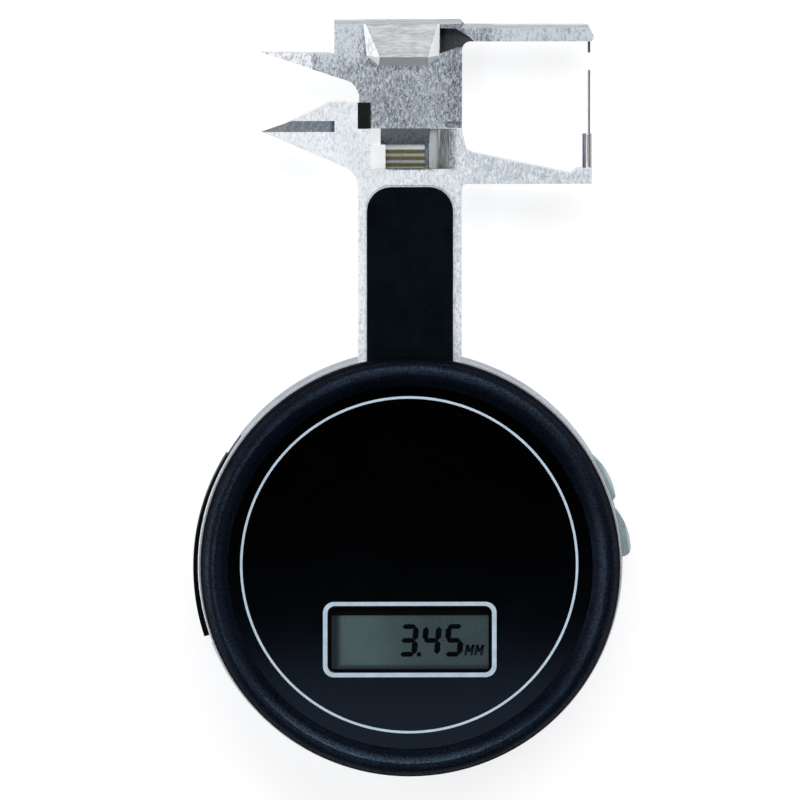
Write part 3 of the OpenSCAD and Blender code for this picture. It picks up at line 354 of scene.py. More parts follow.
def display_glass():
    """Grey-green display, paler towards the left, with a painted shadow along the left and lower edge.
    """
    s = Surface("display_cell", Metallic=0.0, Specular_IOR_Level=0.25)
    grain = s.noise(0.3, 2.0)
    clouds = s.noise(5.0, 2.0)
    tone = s.span(s.blend((grain, 0.5), (clouds, 0.5)), 0.4, 0.6)
    pale = s.mix(tone, (0.060, 0.092, 0.094), (0.071, 0.107, 0.109))
    deep = s.mix(tone, (0.034, 0.052, 0.055), (0.042, 0.063, 0.066))
    x, y = s.axis("X"), s.axis("Y")
    color = s.mix(s.ramp(x, GLASS_FADE_X, smooth=True), pale, deep)
    left = s.ramp(x, GLASS_SHADOW_LEFT_X, FADE, True)
    low = s.ramp(y, GLASS_SHADOW_LOW_Y, (0.8, 0.0), True)
    s.color(s.mix(s.calc("MAXIMUM", left, low), color, (0.012, 0.018, 0.023)))
    s.gloss(s.span(grain, 0.3, 0.7, 0.24, 0.34))
    return s.bump(grain, 0.002).material


def display_ink(name, dark, light, specular):
    """The dark parts of a reading, a thin layer on the display."""
    s = Surface(name, Metallic=0.0, Specular_IOR_Level=specular)
    grain = s.noise(0.1, 2.0)
    s.color(s.mix(s.span(grain, 0.35, 0.65), dark, light))
    s.gloss(s.span(grain, 0.3, 0.7, 0.34, 0.42))
    return s.bump(grain, 0.002).material


def printed_line(name, dark, light):
    """Pale printing ink, a little worn."""
    s = Surface(name, Metallic=0.0, Specular_IOR_Level=0.3)
    grain = s.noise(0.12, 2.0)
    worn = s.noise(2.2, 3.0, 0.6)
    tone = s.blend((grain, 0.5), (worn, 0.5))
    s.color(s.mix(s.span(tone, 0.36, 0.64), dark, light))
    s.gloss(s.span(tone, 0.3, 0.7, 0.42, 0.3))
    return s.bump(grain, 0.003).material


def moulded(name, dark, light, size, rough, depth, specular=0.5):
    """Moulded or soft plastic with a fine spark-eroded grain."""
    s = Surface(name, Metallic=0.0, Specular_IOR_Level=specular)
    grain = s.noise(size, 3.0, 0.6)
    clouds = s.noise(5.0, 2.0)
    tone = s.blend((grain, 0.65), (clouds, 0.35))
    s.color(s.mix(s.span(tone, 0.4, 0.6), dark, light))
    s.gloss(s.span(tone, 0.4, 0.6, *rough))
    return s.bump(grain, depth).material


def strip_fibre():
    """Glass fibre strip, with painted shade between its gilt bars."""
    s = Surface("strip_glass_fibre", Metallic=0.0, Specular_IOR_Level=0.3)
    grain = s.noise(0.4, 3.0, 0.6)
    tone = s.span(grain, 0.4, 0.6)
    pale = s.mix(tone, (0.48, 0.52, 0.54), (0.60, 0.63, 0.64))
    deep = s.mix(tone, (0.27, 0.29, 0.285), (0.34, 0.36, 0.355))
    x, y = s.axis("X"), s.axis("Y")
    low, high = BAR_ZONE
    painted_shade_between_bars = s.product(
        s.span(x, low.x - BAR_MARGIN, low.x),
        s.span(x, high.x, high.x + BAR_MARGIN, *FADE),
        s.span(y, high.y, high.y + BAR_MARGIN, *FADE),
    )
    s.color(s.mix(painted_shade_between_bars, pale, deep))
    s.gloss(s.span(grain, 0.4, 0.6, 0.5, 0.4))
    return s.bump(grain, 0.006).material


def gib_metal():
    """The rail beside the strip, stained yellowish along its right edge."""
    s = Surface("gib_smooth", Metallic=1.0)
    grain = s.noise((0.3, 1.6, 0.4), 3.0, 0.6)
    tone = s.span(grain, 0.4, 0.6)
    plain = s.mix(tone, (0.52, 0.55, 0.56), (0.62, 0.645, 0.655))
    stained = s.mix(tone, (0.34, 0.345, 0.29), (0.42, 0.42, 0.36))
    edge = s.calc("SUBTRACT", s.axis("X"), GIB_RIGHT)
    s.color(s.mix(s.ramp(edge, STAIN_X), plain, stained))
    s.gloss(s.span(grain, 0.4, 0.6, 0.56, 0.46))
    return s.bump(grain, 0.004).material


def sleeve_painted_light():
    """The needle's sleeve with painted light around it: a dark left side, a bright band, then a duller
    one and a pale edge.
    """
    s = Surface("sleeve_turned_painted_light", Metallic=1.0, Specular_Tint=(0.3, 0.3, 0.34, 1.0))
    grain = s.noise((0.3, 0.3, 0.1), 3.0, 0.6)
    tone = s.span(grain, 0.4, 0.6)
    dark = s.mix(tone, (0.10, 0.10, 0.13), (0.19, 0.19, 0.23))
    bright = s.mix(tone, (0.90, 0.91, 0.92), (0.98, 0.98, 0.98))
    dull = s.mix(tone, (0.30, 0.30, 0.27), (0.42, 0.42, 0.38))
    pale = s.mix(tone, (0.66, 0.69, 0.76), (0.78, 0.81, 0.88))
    place = s.span(s.axis("X"), *SLEEVE_SIDES)
    color = s.mix(s.span(place, 0.33, 0.40), dark, bright)
    color = s.mix(s.span(place, 0.66, 0.73), color, dull)
    s.color(s.mix(s.span(place, 0.87, 0.92), color, pale))
    s.gloss(s.span(grain, 0.3, 0.7, 0.32, 0.44))
    return s.bump(grain, 0.002).material


def circuit_board():
    """Green lacquered board with faint tracks."""
    s = Surface("board_lacquer", Metallic=0.0)
    weave = s.noise((0.5, 0.5, 0.5), 2.0)
    tracks = s.cells(2.4)
    lacquer = s.mix(s.span(weave, 0.4, 0.6), (0.010, 0.055, 0.022), (0.016, 0.085, 0.034))
    s.color(s.mix(s.span(tracks, 0.42, 0.46), lacquer, (0.03, 0.14, 0.055)))
    s.gloss(s.span(weave, 0.3, 0.7, 0.24, 0.36))
    return s.bump(tracks, 0.03).material


def floor_paper():
    """Pale paper of the floor."""
    s = Surface(
        "floor_paper", Metallic=0.0, Specular_IOR_Level=0.1,
        Emission_Color=(*WHITE, 1.0), Emission_Strength=0.78,
    )
    cloud = s.noise(90.0, 3.0)
    fibre = s.noise(0.7, 3.0)
    tone = s.blend((cloud, 0.6), (fibre, 0.4))
    s.color(s.mix(s.span(tone, 0.3, 0.7), (0.31, 0.31, 0.312), (0.33, 0.33, 0.332)))
    s.gloss(s.span(tone, 0.3, 0.7, 0.85, 0.95))
    return s.bump(fibre, 0.01).material


# One material for each slot of the record
MATERIALS = {
    "case_metal": satin_case(),
    "bezel_plastic": bezel_plastic(),
    "face_gloss": dial_gloss(),
    "display_glass": display_glass(),
    "white_plastic": moulded(
        "holder_plastic", (0.58, 0.58, 0.55), (0.68, 0.68, 0.65), 0.4, (0.6, 0.5), 0.01
    ),
    "soft_rubber": moulded(
        "connector_rubber", (0.50, 0.24, 0.26), (0.60, 0.31, 0.33), 0.2, (0.8, 0.65), 0.01
    ),
    "board": circuit_board(),
    "black_plastic": moulded(
        "black_grain", (0.0035, 0.004, 0.0045), (0.009, 0.010, 0.011), 0.4, (0.55, 0.4), 0.015, 0.15
    ),
    "steel": brushed_metal(
        "turned_steel", (0.42, 0.43, 0.45), (0.62, 0.63, 0.65), (0.3, 0.3, 0.12), (0.4, 0.26)
    ),
    "key_plastic": moulded(
        "key_satin", (0.23, 0.30, 0.31), (0.34, 0.43, 0.435), 0.3, (0.55, 0.42), 0.01, 0.4
    ),
    "cell_steel": brushed_metal(
        "cell_plate", (0.66, 0.66, 0.67), (0.78, 0.78, 0.79), (0.4, 0.4, 0.4), (0.28, 0.18)
    ),
    "contact_brass": brushed_metal(
        "contact_brass", (0.66, 0.52, 0.24), (0.80, 0.66, 0.34), (0.15, 1.5, 0.15), (0.4, 0.28)
    ),
    "spring_steel": brushed_metal(
        "spring_wire", (0.28, 0.28, 0.30), (0.42, 0.42, 0.44), (0.2, 0.2, 0.2), (0.42, 0.3)
    ),
    "gear_brass": brushed_metal(
        "gear_brass", (0.58, 0.44, 0.19), (0.74, 0.58, 0.27), (0.3, 0.3, 0.15), (0.38, 0.26)
    ),
    "frame_metal": blasted_metal(
        "frame_blasted", (0.59, 0.64, 0.68), (0.93, 0.945, 0.96), (0.42, 0.9, 0.8), (0.80, 0.70),
        0.014, 0.125, 0.2, frame_zones,
    ),
    "inlay": moulded(
        "inlay_satin", (0.0008, 0.0019, 0.0030), (0.0030, 0.0058, 0.0084), 0.35, (0.62, 0.48),
        0.012, 0.02,
    ),
    "block_metal": blasted_metal(
        "block_blasted", (0.165, 0.19, 0.215), (0.725, 0.765, 0.81), (0.40, 0.85, 0.8), (0.68, 0.56),
        0.024, 0.135, 0.15, block_zones,
    ),
    "catch_metal": brushed_metal(
        "milled_smooth", (0.275, 0.285, 0.29), (0.315, 0.325, 0.33), (1.6, 0.3, 0.4), (0.56, 0.46)
    ),
    "strip": strip_fibre(),
    "gilt": brushed_metal(
        "gilt_trace", (0.15, 0.135, 0.055), (0.28, 0.25, 0.12), (0.7, 0.2, 0.3), (0.5, 0.36)
    ),
    "dark_steel": brushed_metal(
        "dark_steel", (0.09, 0.09, 0.10), (0.16, 0.16, 0.17), (0.2, 0.6, 0.2), (0.4, 0.28)
    ),
    "polished_steel": brushed_metal(
        "polished_steel", (0.60, 0.62, 0.64), (0.78, 0.79, 0.80), (0.1, 1.2, 0.1), (0.3, 0.2), 0.002
    ),
}

# Materials of single pieces, faces and worn edges, among them painted shade and painted highlights
CASE_RIM_PAINTED_HIGHLIGHT = case_rim_painted_highlight()
BEZEL_SHADOW = bezel_shadow()
STRIP_BLACK = moulded(
    "strip_black", (0.0006, 0.0008, 0.001), (0.002, 0.0024, 0.003), 0.35, (0.6, 0.46), 0.015, 0.05
)
# Painted shade: black for the band around the display's edge
WINDOW_SHADE_BLACK = moulded(
    "window_shade_black", (0.0010, 0.0010, 0.0016), (0.0020, 0.0021, 0.0032), 0.3, (0.6, 0.5), 0.004, 0.04
)
PRINT_WHITE = printed_line("printed_white", (0.44, 0.55, 0.65), (0.60, 0.72, 0.83))
PRINT_BORDER = printed_line("printed_border", (0.39, 0.49, 0.57), (0.54, 0.65, 0.75))
DIGIT_INK = display_ink("display_ink", (0.0006, 0.0010, 0.0010), (0.0016, 0.0026, 0.0025), 0.03)
UNIT_INK = display_ink("unit_ink", (0.0035, 0.0055, 0.0055), (0.007, 0.011, 0.011), 0.08)
GIB_METAL = gib_metal()
SLEEVE_PAINTED_LIGHT = sleeve_painted_light()
NEEDLE_STEEL = brushed_metal(
    "needle_steel", (0.24, 0.25, 0.27), (0.38, 0.39, 0.41), (0.1, 1.2, 0.1), (0.4, 0.3), 0.002
)
# Painted highlight: near white on the left side of the frame's window and on the catch's corners and
# right flank
PAINTED_HIGHLIGHT_WHITE = moulded(
    "painted_highlight_white", (0.96, 0.97, 0.98), (0.99, 0.99, 0.995), 0.5, (0.55, 0.45), 0.004, 0.5
)
FLANK_DULL = brushed_metal(
    "flank_dull", (0.62, 0.63, 0.64), (0.86, 0.87, 0.88), (0.35, 0.9, 0.35), (0.70, 0.60), 0.014
)
GROUND = brushed_metal(
    "ground_bright", (0.94, 0.97, 0.985), (0.985, 0.99, 0.995), (0.35, 0.9, 0.35), (0.66, 0.54)
)
WORN_FRAME = brushed_metal(
    "worn_frame_edge", (0.86, 0.88, 0.90), (0.96, 0.97, 0.98), (0.4, 0.4, 0.4), (0.55, 0.42)
)
WORN_BLOCK = brushed_metal(
    "worn_block_edge", (0.38, 0.41, 0.44), (0.66, 0.69, 0.72), (0.4, 0.4, 0.4), (0.55, 0.42)
)
# Painted shade on the right and lower sides of the frame's window
WINDOW_SIDE_PAINTED_SHADE = brushed_metal(
    "window_side_painted_shade", (0.060, 0.065, 0.065), (0.105, 0.112, 0.112), (0.25, 2.0, 0.25), (0.5, 0.36)
)
# Painted shade: a dark material on the scoop beside the catch
SCOOP_PAINTED_SHADE = moulded(
    "scoop_painted_shade", (0.034, 0.038, 0.043), (0.058, 0.063, 0.069), 0.4, (0.6, 0.5), 0.006, 0.3
)
MILLED_PALE = brushed_metal(
    "milled_pale", (0.45, 0.48, 0.50), (0.58, 0.61, 0.63), (2.4, 0.2, 0.2), (0.6, 0.5)
)
# The facet of the lower left jaw, with painted shade towards its right end at the corner
MILLED_FACET = blasted_metal(
    "milled_facet", (0.40, 0.50, 0.60), (1.0, 1.0, 1.0), (0.6, 0.6, 0.5), (0.5, 0.38),
    0.01, 0.10, 0.25, lambda s: s.ramp(s.axis("X"), FACET_SHADE_END_X, (0.0, -1.3)),
)
TIP_BLASTED = blasted_metal(
    "tip_blasted", (0.24, 0.25, 0.26), (0.95, 0.95, 0.96), (0.5, 0.9, 0.7), (0.7, 0.6),
    0.02, 0.12, 0.1, lambda s: TIP_PALER,
)
# The block's tongue: blasted metal in painted shade, darker towards its lower end
TONGUE_PAINTED_SHADE = blasted_metal(
    "tongue_painted_shade", (0.085, 0.10, 0.102), (0.20, 0.22, 0.225), (0.36, 0.6, 0.5), (0.55, 0.4),
    0.006, 0.14, 0.2, lambda s: s.ramp(s.axis("Y"), TONGUE_SHADE_Y, (-0.1, 0.55)),
)


# Tools for meshes and pieces


def add_piece(name, mesh, body, material, stands_for=()):
    """A new object made from a mesh, which rides on a body and may stand for CAD nodes."""
    obj = bpy.data.objects.new(name, mesh)
    bpy.context.scene.collection.objects.link(obj)
    for one in material if isinstance(material, (list, tuple)) else [material]:
        mesh.materials.append(one)
    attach(obj, body)
    if stands_for:
        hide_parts(*stands_for)
    return obj


def soften(obj, width_mm, segments=2, limit=28):
    """Rounds the sharp edges of a piece by a width in millimetres."""
    bevel = obj.modifiers.new("rounded_edges", "BEVEL")
    bevel.width = width_mm * MM
    bevel.segments = segments
    bevel.limit_method = "ANGLE"
    bevel.angle_limit = math.radians(limit)
    bevel.miter_outer = "MITER_ARC"
    bevel.harden_normals = True
    bevel.use_clamp_overlap = True
    return obj


def clean_copy(node):
    """The solid's surface as one welded mesh, its flat faces joined."""
    weld = 2e-6
    flat = math.radians(0.4)
    bm = bmesh.new()
    bm.from_mesh(NODES[node].data)
    bmesh.ops.remove_doubles(bm, verts=bm.verts[:], dist=weld)
    bmesh.ops.dissolve_limit(
        bm, angle_limit=flat, verts=bm.verts[:], edges=bm.edges[:], use_dissolve_boundaries=False
    )
    points = [v.co.copy() for v in bm.verts]
    index = {v: i for i, v in enumerate(bm.verts)}
    faces = [[index[v] for v in f.verts] for f in bm.faces]
    bm.free()
    mesh = bpy.data.meshes.new(node)
    mesh.from_pydata(points, [], faces)
    mesh.validate()
    return mesh


def dressed(node, name, width_mm, material=None, segments=2, limit=28, choose=None, worn=None):
    """A finished copy of a solid with rounded edges.

    choose picks each face's material from the list, and worn is the material of the edges.
    """
    mesh = clean_copy(node)
    mesh.shade_smooth()
    mesh.set_sharp_from_angle(angle=math.radians(limit))
    materials = material if isinstance(material, list) else [material or MATERIALS[SLOT_OF[node]]]
    materials = materials + ([worn] if worn else [])
    obj = add_piece(name, mesh, BODY_OF[node], materials, [node])
    if choose:
        for face in mesh.polygons:
            face.material_index = choose(face.center / MM, face.normal)
    soften(obj, width_mm, segments, limit)
    if worn:
        obj.modifiers["rounded_edges"].material = len(materials) - 1
    return obj


def flat_band(outer, inner, low, high):
    """A closed band between two outlines with as many points each, from one height to another."""
    count = len(outer)
    points = []
    for outline, z in ((outer, low), (inner, low), (outer, high), (inner, high)):
        points += [(x, y, z) for x, y in outline]
    out_low, in_low, out_high, in_high = (k * count for k in range(4))
    faces = []
    for i in range(count):
        j = (i + 1) % count
        faces.append((out_high + i, out_high + j, in_high + j, in_high + i))
        faces.append((out_low + j, out_low + i, in_low + i, in_low + j))
        faces.append((out_low + i, out_low + j, out_high + j, out_high + i))
        faces.append((in_low + j, in_low + i, in_high + i, in_high + j))
    mesh = bpy.data.meshes.new("band")
    mesh.from_pydata(points, [], faces)
    return mesh


def flat_shapes(outlines, low, high):
    """Closed thin plates, one for each outline."""
    bm = bmesh.new()
    for outline in outlines:
        bottom = [bm.verts.new((x, y, low)) for x, y in outline]
        top = [bm.verts.new((x, y, high)) for x, y in outline]
        bm.faces.new(top)
        bm.faces.new(bottom[::-1])
        for i in range(len(outline)):
            j = (i + 1) % len(outline)
            bm.faces.new((bottom[i], bottom[j], top[j], top[i]))
    bmesh.ops.recalc_face_normals(bm, faces=bm.faces[:])
    mesh = bpy.data.meshes.new("plates")
    bm.to_mesh(mesh)
    bm.free()
    return mesh


def ring_outline(radius, centre, count=256):
    """A circle as a closed row of points, counter-clockwise."""
    return [
        (
            centre[0] + radius * math.cos(2 * math.pi * i / count),
            centre[1] + radius * math.sin(2 * math.pi * i / count),
        )
        for i in range(count)
    ]


def box_outline(left, right, low, high, radius, steps=12):
    """A rectangle with round corners, counter-clockwise."""
    points = []
    corners = ((right, high, 0), (left, high, 90), (left, low, 180), (right, low, 270))
    for x, y, start in corners:
        cx = x - math.copysign(radius, x - (left + right) / 2)
        cy = y - math.copysign(radius, y - (low + high) / 2)
        for k in range(steps + 1):
            angle = math.radians(start + 90 * k / steps)
            points.append((cx + radius * math.cos(angle), cy + radius * math.sin(angle)))
    return points


def between(value, limits):
    """Whether a value lies inside two limits."""
    return limits[0] < value < limits[1]


# Case, bezel and dial

# The rim starts at this height, in millimetres
RIM_Z = 12


def rim_face(centre, normal):
    """0 side and back, 1 turned top edge in a painted highlight."""
    return 1 if normal.z > 0.3 and centre.z > RIM_Z else 0


def bezel_face(centre, normal):
    """0 band and crest, 1 lower side in painted shade."""
    return 1 if normal.z < 0.45 else 0


def build_case():
    """The case with its bezel, dial, lever pad, keys, door and screws."""
    dressed(
        "rear_case", "case_shell", 0.12, [MATERIALS["case_metal"], CASE_RIM_PAINTED_HIGHLIGHT], choose=rim_face
    )
    dressed(
        "front_bezel", "bezel_ring", 0.3, [MATERIALS["bezel_plastic"], BEZEL_SHADOW],
        segments=3, limit=20, choose=bezel_face,
    )
    dressed("face_plate", "dial_plate", 0.12)
    dressed("thumb_pad", "thumb_strip", 0.3, STRIP_BLACK, segments=3)
    for node, name in (("power_button", "upper_key"), ("zero_button", "lower_key")):
        dressed(node, name, 0.5, segments=4)
    dressed("battery_door", "battery_cover", 0.2)
    dressed("case_screws", "case_screw_set", 0.12)


# Print on the dial and the display

# The printed ring and the thickness of ink
RING_CENTRE = (-0.25 * MM, 0.56 * MM)
RING_RADII = (33.68 * MM, 33.2 * MM)
PRINT_THICKNESS = 0.03 * MM

# Round-cornered boxes: left, right, low, high and corner radius
BORDER_OUTER = (-17.43 * MM, 17.15 * MM, -21.88 * MM, -6.82 * MM, 2.2 * MM)
BORDER_INNER = (-16.54 * MM, 16.25 * MM, -21.0 * MM, -7.62 * MM, 1.5 * MM)
# The black band on the display stands for the shaded walls of the window: painted shade
WINDOW_SHADE_OUTER = (-17.3 * MM, 17.3 * MM, -22.7 * MM, -6.1 * MM, 0.3 * MM)
WINDOW_SHADE_INNER = (-15.7 * MM, 15.6 * MM, -20.35 * MM, -9.6 * MM, 0.25 * MM)

# Seven-bar numbers: bars a to f clockwise from the top, g in the middle.
# Level bars start at LEVEL_START of half an upright bar's width
READING = "345"
DIGIT_BARS = {"3": "abgcd", "4": "fgbc", "5": "afgcd"}
DIGIT_W = 3.7 * MM
DIGIT_H = 6.5 * MM
DIGIT_BASE = -17.9 * MM
DIGIT_LEFTS = (-2.43 * MM, 2.11 * MM, 6.63 * MM)
BAR_ACROSS = 0.95 * MM
BAR_UPRIGHT = 1.14 * MM
BAR_GAP = 0.03 * MM
LEVEL_START = 0.6
SLANT = 0.08
DOT_RADIUS = 0.47 * MM
DOT_RIGHT = 4.16 * MM

# The unit: its place, the width, height and stroke of a letter, its step, lift and slant,
# and how far up its height a letter's middle dips
UNIT_LEFT = 10.95 * MM
UNIT_LETTER = (1.7 * MM, 2.1 * MM, 0.5 * MM)
UNIT_STEP = 1.95 * MM
UNIT_LIFT = 0.25 * MM
UNIT_SLANT = 0.22
UNIT_DIP = 0.35


def slanted(points, left, lift=0.0, slant=SLANT):
    """Points of a sign leaned to the right and set on the display."""
    return [(left + p[0] + slant * p[1], DIGIT_BASE + lift + p[1]) for p in points]


def stroke_sides(start, end, thickness):
    """The direction of a stroke and half its thickness to the side."""
    along = (Vector(end) - Vector(start)).normalized()
    return along, Vector((-along.y, along.x)) * thickness / 2


def bar_outline(start, end, thickness):
    """A bar with pointed ends from start to end."""
    along, across = stroke_sides(start, end, thickness)
    tip = along * thickness / 2
    a, b = Vector(start) + along * BAR_GAP, Vector(end) - along * BAR_GAP
    return [a, a + tip - across, b - tip - across, b, b - tip + across, a + tip + across]


def digit_outlines(number, left):
    """The bars of one number, which starts at the given place."""
    inset = BAR_UPRIGHT / 2
    x0, x1 = inset, DIGIT_W - inset
    start = LEVEL_START * inset
    y0, y1 = BAR_ACROSS / 2, DIGIT_H - BAR_ACROSS / 2
    middle = DIGIT_H / 2
    bars = {
        "a": ((start, y1), (x1, y1), BAR_ACROSS),
        "b": ((x1, middle), (x1, y1), BAR_UPRIGHT),
        "c": ((x1, y0), (x1, middle), BAR_UPRIGHT),
        "d": ((start, y0), (x1, y0), BAR_ACROSS),
        "f": ((x0, middle), (x0, y1), BAR_UPRIGHT),
        "g": ((start, middle), (x1, middle), BAR_ACROSS),
    }
    return [slanted(bar_outline(*bars[b]), left) for b in DIGIT_BARS[number]]


def unit_outlines(left):
    """The unit of the reading: two small slanted capitals in plain strokes."""
    w, h, t = UNIT_LETTER
    shapes = []
    for k in range(2):
        a = k * UNIT_STEP
        b = a + w - t
        middle = ((a + b) / 2, UNIT_DIP * h)
        for start, end in (((a, 0), (a, h)), ((a, h), middle), (middle, (b, h)), ((b, h), (b, 0))):
            side = stroke_sides(start, end, t)[1]
            p, q = Vector(start), Vector(end)
            corners = [p - side, q - side, q + side, p + side]
            shapes.append(slanted(corners, left, UNIT_LIFT, UNIT_SLANT))
    return shapes


def build_display():
    """The printed ring and border, the display with a black band of painted shade around its edge, and
    the reading.
    """
    ring = flat_band(
        ring_outline(RING_RADII[0], RING_CENTRE), ring_outline(RING_RADII[1], RING_CENTRE),
        FACE_TOP, FACE_TOP + PRINT_THICKNESS,
    )
    add_piece("printed_ring", ring, "case", PRINT_WHITE)
    border = flat_band(
        box_outline(*BORDER_OUTER), box_outline(*BORDER_INNER), FACE_TOP, FACE_TOP + 2 * PRINT_THICKNESS
    )
    add_piece("window_border", border, "case", PRINT_BORDER)
    dressed("lcd_glass", "display_panel", 0.1)
    shade_band = flat_band(
        box_outline(*WINDOW_SHADE_OUTER), box_outline(*WINDOW_SHADE_INNER), GLASS_TOP, GLASS_TOP + 4 * PRINT_THICKNESS
    )
    add_piece("window_shade_band", shade_band, "case", WINDOW_SHADE_BLACK)
    shapes = [s for d, left in zip(READING, DIGIT_LEFTS) for s in digit_outlines(d, left)]
    dot = (DIGIT_LEFTS[0] + DOT_RIGHT, DIGIT_BASE + DOT_RADIUS)
    shapes.append(ring_outline(DOT_RADIUS, dot, count=24))
    digits = flat_shapes(shapes, GLASS_TOP, GLASS_TOP + PRINT_THICKNESS)
    add_piece("reading_digits", digits, "case", DIGIT_INK)
    unit = flat_shapes(unit_outlines(UNIT_LEFT), GLASS_TOP, GLASS_TOP + PRINT_THICKNESS)
    add_piece("reading_unit", unit, "case", UNIT_INK)


# Stem, head and moving block

# Faces inside these limits get a material of their own, some of them painted shade or a painted
# highlight: places in millimetres along x, y and z
WINDOW_LEFT_X = (-8.2, -4)
WINDOW_RIGHT_X = (5, 8.2)
WINDOW_X = (-8.2, 8.2)
WINDOW_Y = (76, 90)
WINDOW_LOW_Y = (78.5, 80)
FACET_RIGHT_X = -14
FACET_LOW_Y = 80
TONGUE_TOP_Y = 87
TIP_RIGHT_X = -18
SCOOP_X = (6, 13)
SCOOP_LOW_Y = 100
SCOOP_WALL_X = (5.9, 13)
SCOOP_WALL_Y = (101, 107.4)
SCOOP_WALL_LOW_Z = 7


def frame_face(centre, normal):
    """0 blasted, 1 facet of the lower left jaw, 2 right and lower sides of the window in painted shade,
    3 left one in a white painted highlight.
    """
    if normal.y > 0.5 and between(centre.x, WINDOW_X) and between(centre.y, WINDOW_LOW_Y):
        return 2
    if not between(normal.z, (0.2, 0.97)):
        return 0
    if centre.x < FACET_RIGHT_X and centre.y > FACET_LOW_Y:
        return 1
    if between(centre.y, WINDOW_Y):
        if between(centre.x, WINDOW_RIGHT_X):
            return 2
        if between(centre.x, WINDOW_LEFT_X):
            return 3
    return 0


def block_face(centre, normal):
    """0 blasted, 1 pale jaw tip, 2 scoop in painted shade, 3 chamfers along the top, 4 tongue in
    painted shade.
    """
    if centre.y < TONGUE_TOP_Y and normal.z > 0.2:
        return 4
    if between(normal.z, (0.2, 0.995)):
        if centre.x < TIP_RIGHT_X:
            return 1
        if normal.y > 0.5:
            return 3
        if between(centre.x, SCOOP_X) and centre.y > SCOOP_LOW_Y:
            return 2
    in_scoop = between(centre.x, SCOOP_WALL_X) and between(centre.y, SCOOP_WALL_Y)
    return 2 if in_scoop and abs(normal.z) < 0.2 and centre.z > SCOOP_WALL_LOW_Z else 0


def catch_face(centre, normal):
    """0 smooth top, 1 ground front, 2 corners and right flank in a white painted highlight, 3 dull left
    flank.
    """
    if normal.x > 0.3 or abs(normal.x) > 0.2 and normal.y < -0.2:
        return 2
    if normal.x < -0.3:
        return 3
    return 1 if normal.y < -0.3 else 0


def build_head():
    """The stem and head of the frame, the slide and the moving block."""
    dressed(
        "jaw_frame", "jaw_frame_body", 0.16,
        [MATERIALS["frame_metal"], MILLED_FACET, WINDOW_SIDE_PAINTED_SHADE, PAINTED_HIGHLIGHT_WHITE],
        choose=frame_face, worn=WORN_FRAME,
    )
    dressed("stem_panel", "stem_inlay", 0.12)
    dressed("guide_pad", "guide_block", 0.15)
    dressed("gib_strip", "gib_rail", 0.12, GIB_METAL)
    dressed("scale_strip", "scale_backing", 0.08)
    dressed("slide_bar", "rack_bar", 0.08)
    dressed("stem_back_plate", "stem_cover", 0.1)
    dressed("probe_sleeve", "sleeve", 0.12, SLEEVE_PAINTED_LIGHT)
    dressed("probe_needle", "needle", 0.04, NEEDLE_STEEL)
    dressed(
        "jaw_block", "jaw_block_body", 0.12,
        [MATERIALS["block_metal"], TIP_BLASTED, SCOOP_PAINTED_SHADE, MILLED_PALE, TONGUE_PAINTED_SHADE],
        choose=block_face, worn=WORN_BLOCK,
    )
    dressed(
        "finger_catch", "finger_wedge", 0.12,
        [MATERIALS["catch_metal"], GROUND, PAINTED_HIGHLIGHT_WHITE, FLANK_DULL], choose=catch_face,
    )


# Floor, lights and camera, in metres

FLOOR_HALF = 4.0
FLOOR_DROP = 0.00002
BACKDROP_RADIUS = 4.3
LIGHT_AIM = Vector((0.0, 0.03, 0.01))
COOL_WHITE = (0.97, 0.985, 1.0)

# Name, azimuth from +X, tilt from the vertical, distance, size, radiance and colour
LIGHTS = (
    ("light_top", 78, 44, 1.6, (2.0, 1.0), 4.4, WHITE),
    ("light_left", 180, 76, 1.6, (1.3, 0.8), 4.2, COOL_WHITE),
    ("light_left_high", 180, 24, 1.6, (1.3, 0.35), 2.9, COOL_WHITE),
    ("light_right", 0, 38, 1.6, (1.3, 1.0), 0.12, WHITE),
    ("light_low", 270, 42, 1.6, (1.3, 0.9), 0.72, WHITE),
    ("light_side_right", 0, 83, 1.6, (1.8, 0.4), 1.5, WHITE),
    ("light_card", 270, 18, 0.8, (0.5, 0.26), 0.63, (0.42, 0.64, 1.0)),
)

# The camera aims at the height of the case's rim, where the picture is VIEW_WIDTH wide.
# Only SENSOR is in millimetres
CAMERA_TARGET = Vector((-1.985, 33.1, 12.4)) * MM
CAMERA_LEAN = Vector((-0.018, 0.075, 1.0))
CAMERA_DISTANCE = 3.0
CAMERA_CLIP = (0.1, 20.0)
VIEW_WIDTH = 0.1594
SENSOR = 36.0


def build_floor():
    """The pale floor just below the gauge."""
    half = FLOOR_HALF
    mesh = bpy.data.meshes.new("floor")
    mesh.from_pydata(
        [(-half, -half, 0), (half, -half, 0), (half, half, 0), (-half, half, 0)], [], [(0, 1, 2, 3)]
    )
    mesh.materials.append(floor_paper())
    floor = bpy.data.objects.new("floor", mesh)
    floor.location.z = -FLOOR_DROP
    bpy.context.scene.collection.objects.link(floor)
    return floor


def build_backdrop():
    """A white dome that only the camera sees."""
    bm = bmesh.new()
    bmesh.ops.create_uvsphere(bm, u_segments=48, v_segments=24, radius=BACKDROP_RADIUS)
    bmesh.ops.reverse_faces(bm, faces=bm.faces[:])
    mesh = bpy.data.meshes.new("backdrop")
    bm.to_mesh(mesh)
    bm.free()
    mesh.shade_smooth()
    s = Surface(
        "backdrop_paper", Metallic=0.0, Emission_Color=(*WHITE, 1.0), Emission_Strength=0.85
    )
    s.color(s.mix(s.noise(400.0, 2.0), (0.8, 0.8, 0.8), (0.84, 0.84, 0.84)))
    mesh.materials.append(s.material)
    backdrop = bpy.data.objects.new("backdrop", mesh)
    bpy.context.scene.collection.objects.link(backdrop)
    for ray in ("visible_diffuse", "visible_glossy", "visible_transmission", "visible_shadow"):
        setattr(backdrop, ray, False)
    return backdrop


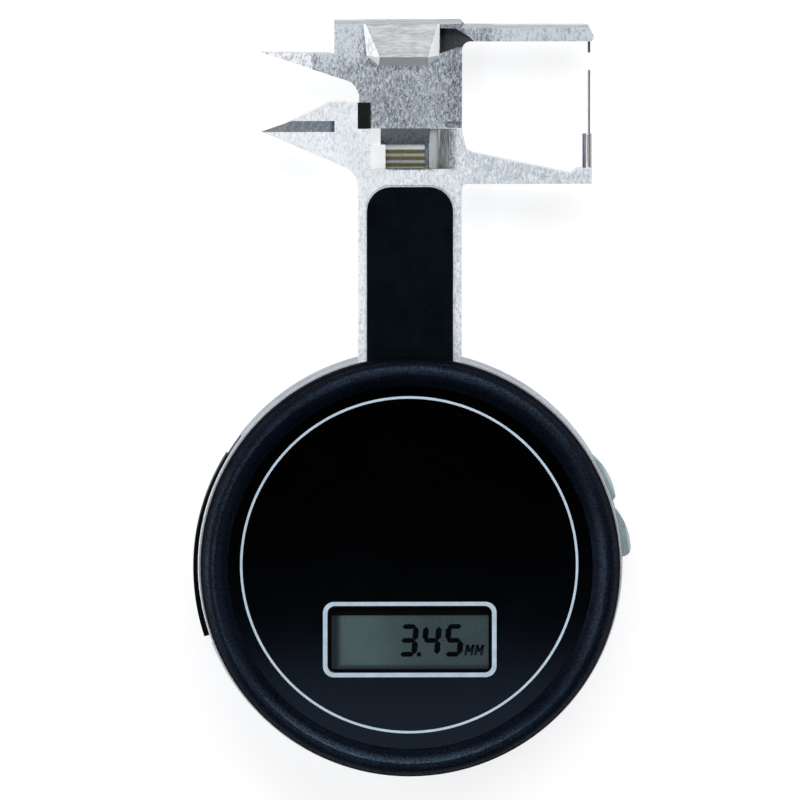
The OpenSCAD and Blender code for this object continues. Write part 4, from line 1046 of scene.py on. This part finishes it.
def softbox(name, azimuth, tilt, distance, size, radiance, color):
    """A rectangular area light aimed at the gauge."""
    a, t = math.radians(azimuth), math.radians(tilt)
    towards = Vector((math.cos(a) * math.sin(t), math.sin(a) * math.sin(t), math.cos(t)))
    lamp = bpy.data.lights.new(name, "AREA")
    lamp.shape = "RECTANGLE"
    lamp.size, lamp.size_y = size
    lamp.energy = radiance * math.pi * size[0] * size[1]
    lamp.color = color
    obj = bpy.data.objects.new(name, lamp)
    obj.location = LIGHT_AIM + towards * distance
    obj.rotation_mode = "QUATERNION"
    obj.rotation_quaternion = towards.to_track_quat("Z", "Y")
    obj.visible_camera = False
    bpy.context.scene.collection.objects.link(obj)


def build_world():
    """A faint cool light from all around."""
    world = bpy.data.worlds.new("studio")
    world.use_nodes = True
    background = world.node_tree.nodes["Background"]
    background.inputs["Color"].default_value = (0.9, 0.95, 1.0, 1.0)
    background.inputs["Strength"].default_value = 0.006
    bpy.context.scene.world = world


def build_camera():
    """A long lens above the dial, leaned a little as in the photograph."""
    away = CAMERA_LEAN.normalized()
    right = Vector((0.0, 1.0, 0.0)).cross(away).normalized()
    up = away.cross(right)
    data = bpy.data.cameras.new("camera")
    data.sensor_width = SENSOR
    data.lens = SENSOR * CAMERA_DISTANCE / VIEW_WIDTH
    data.clip_start, data.clip_end = CAMERA_CLIP
    camera = bpy.data.objects.new("camera", data)
    matrix = camera.matrix_world.copy()
    for row in range(3):
        matrix[row][0], matrix[row][1], matrix[row][2] = right[row], up[row], away[row]
        matrix[row][3] = CAMERA_TARGET[row] + away[row] * CAMERA_DISTANCE
    camera.matrix_world = matrix
    bpy.context.scene.collection.objects.link(camera)
    bpy.context.scene.camera = camera


for node, obj in NODES.items():
    for index in range(len(obj.material_slots)):
        obj.material_slots[index].material = MATERIALS[SLOT_OF[node]]

build_case()
build_display()
build_head()
floor = build_floor()
backdrop = build_backdrop()
for light in LIGHTS:
    softbox(*light)
build_world()
build_camera()
bpy.context.scene.view_settings.view_transform = "Standard"
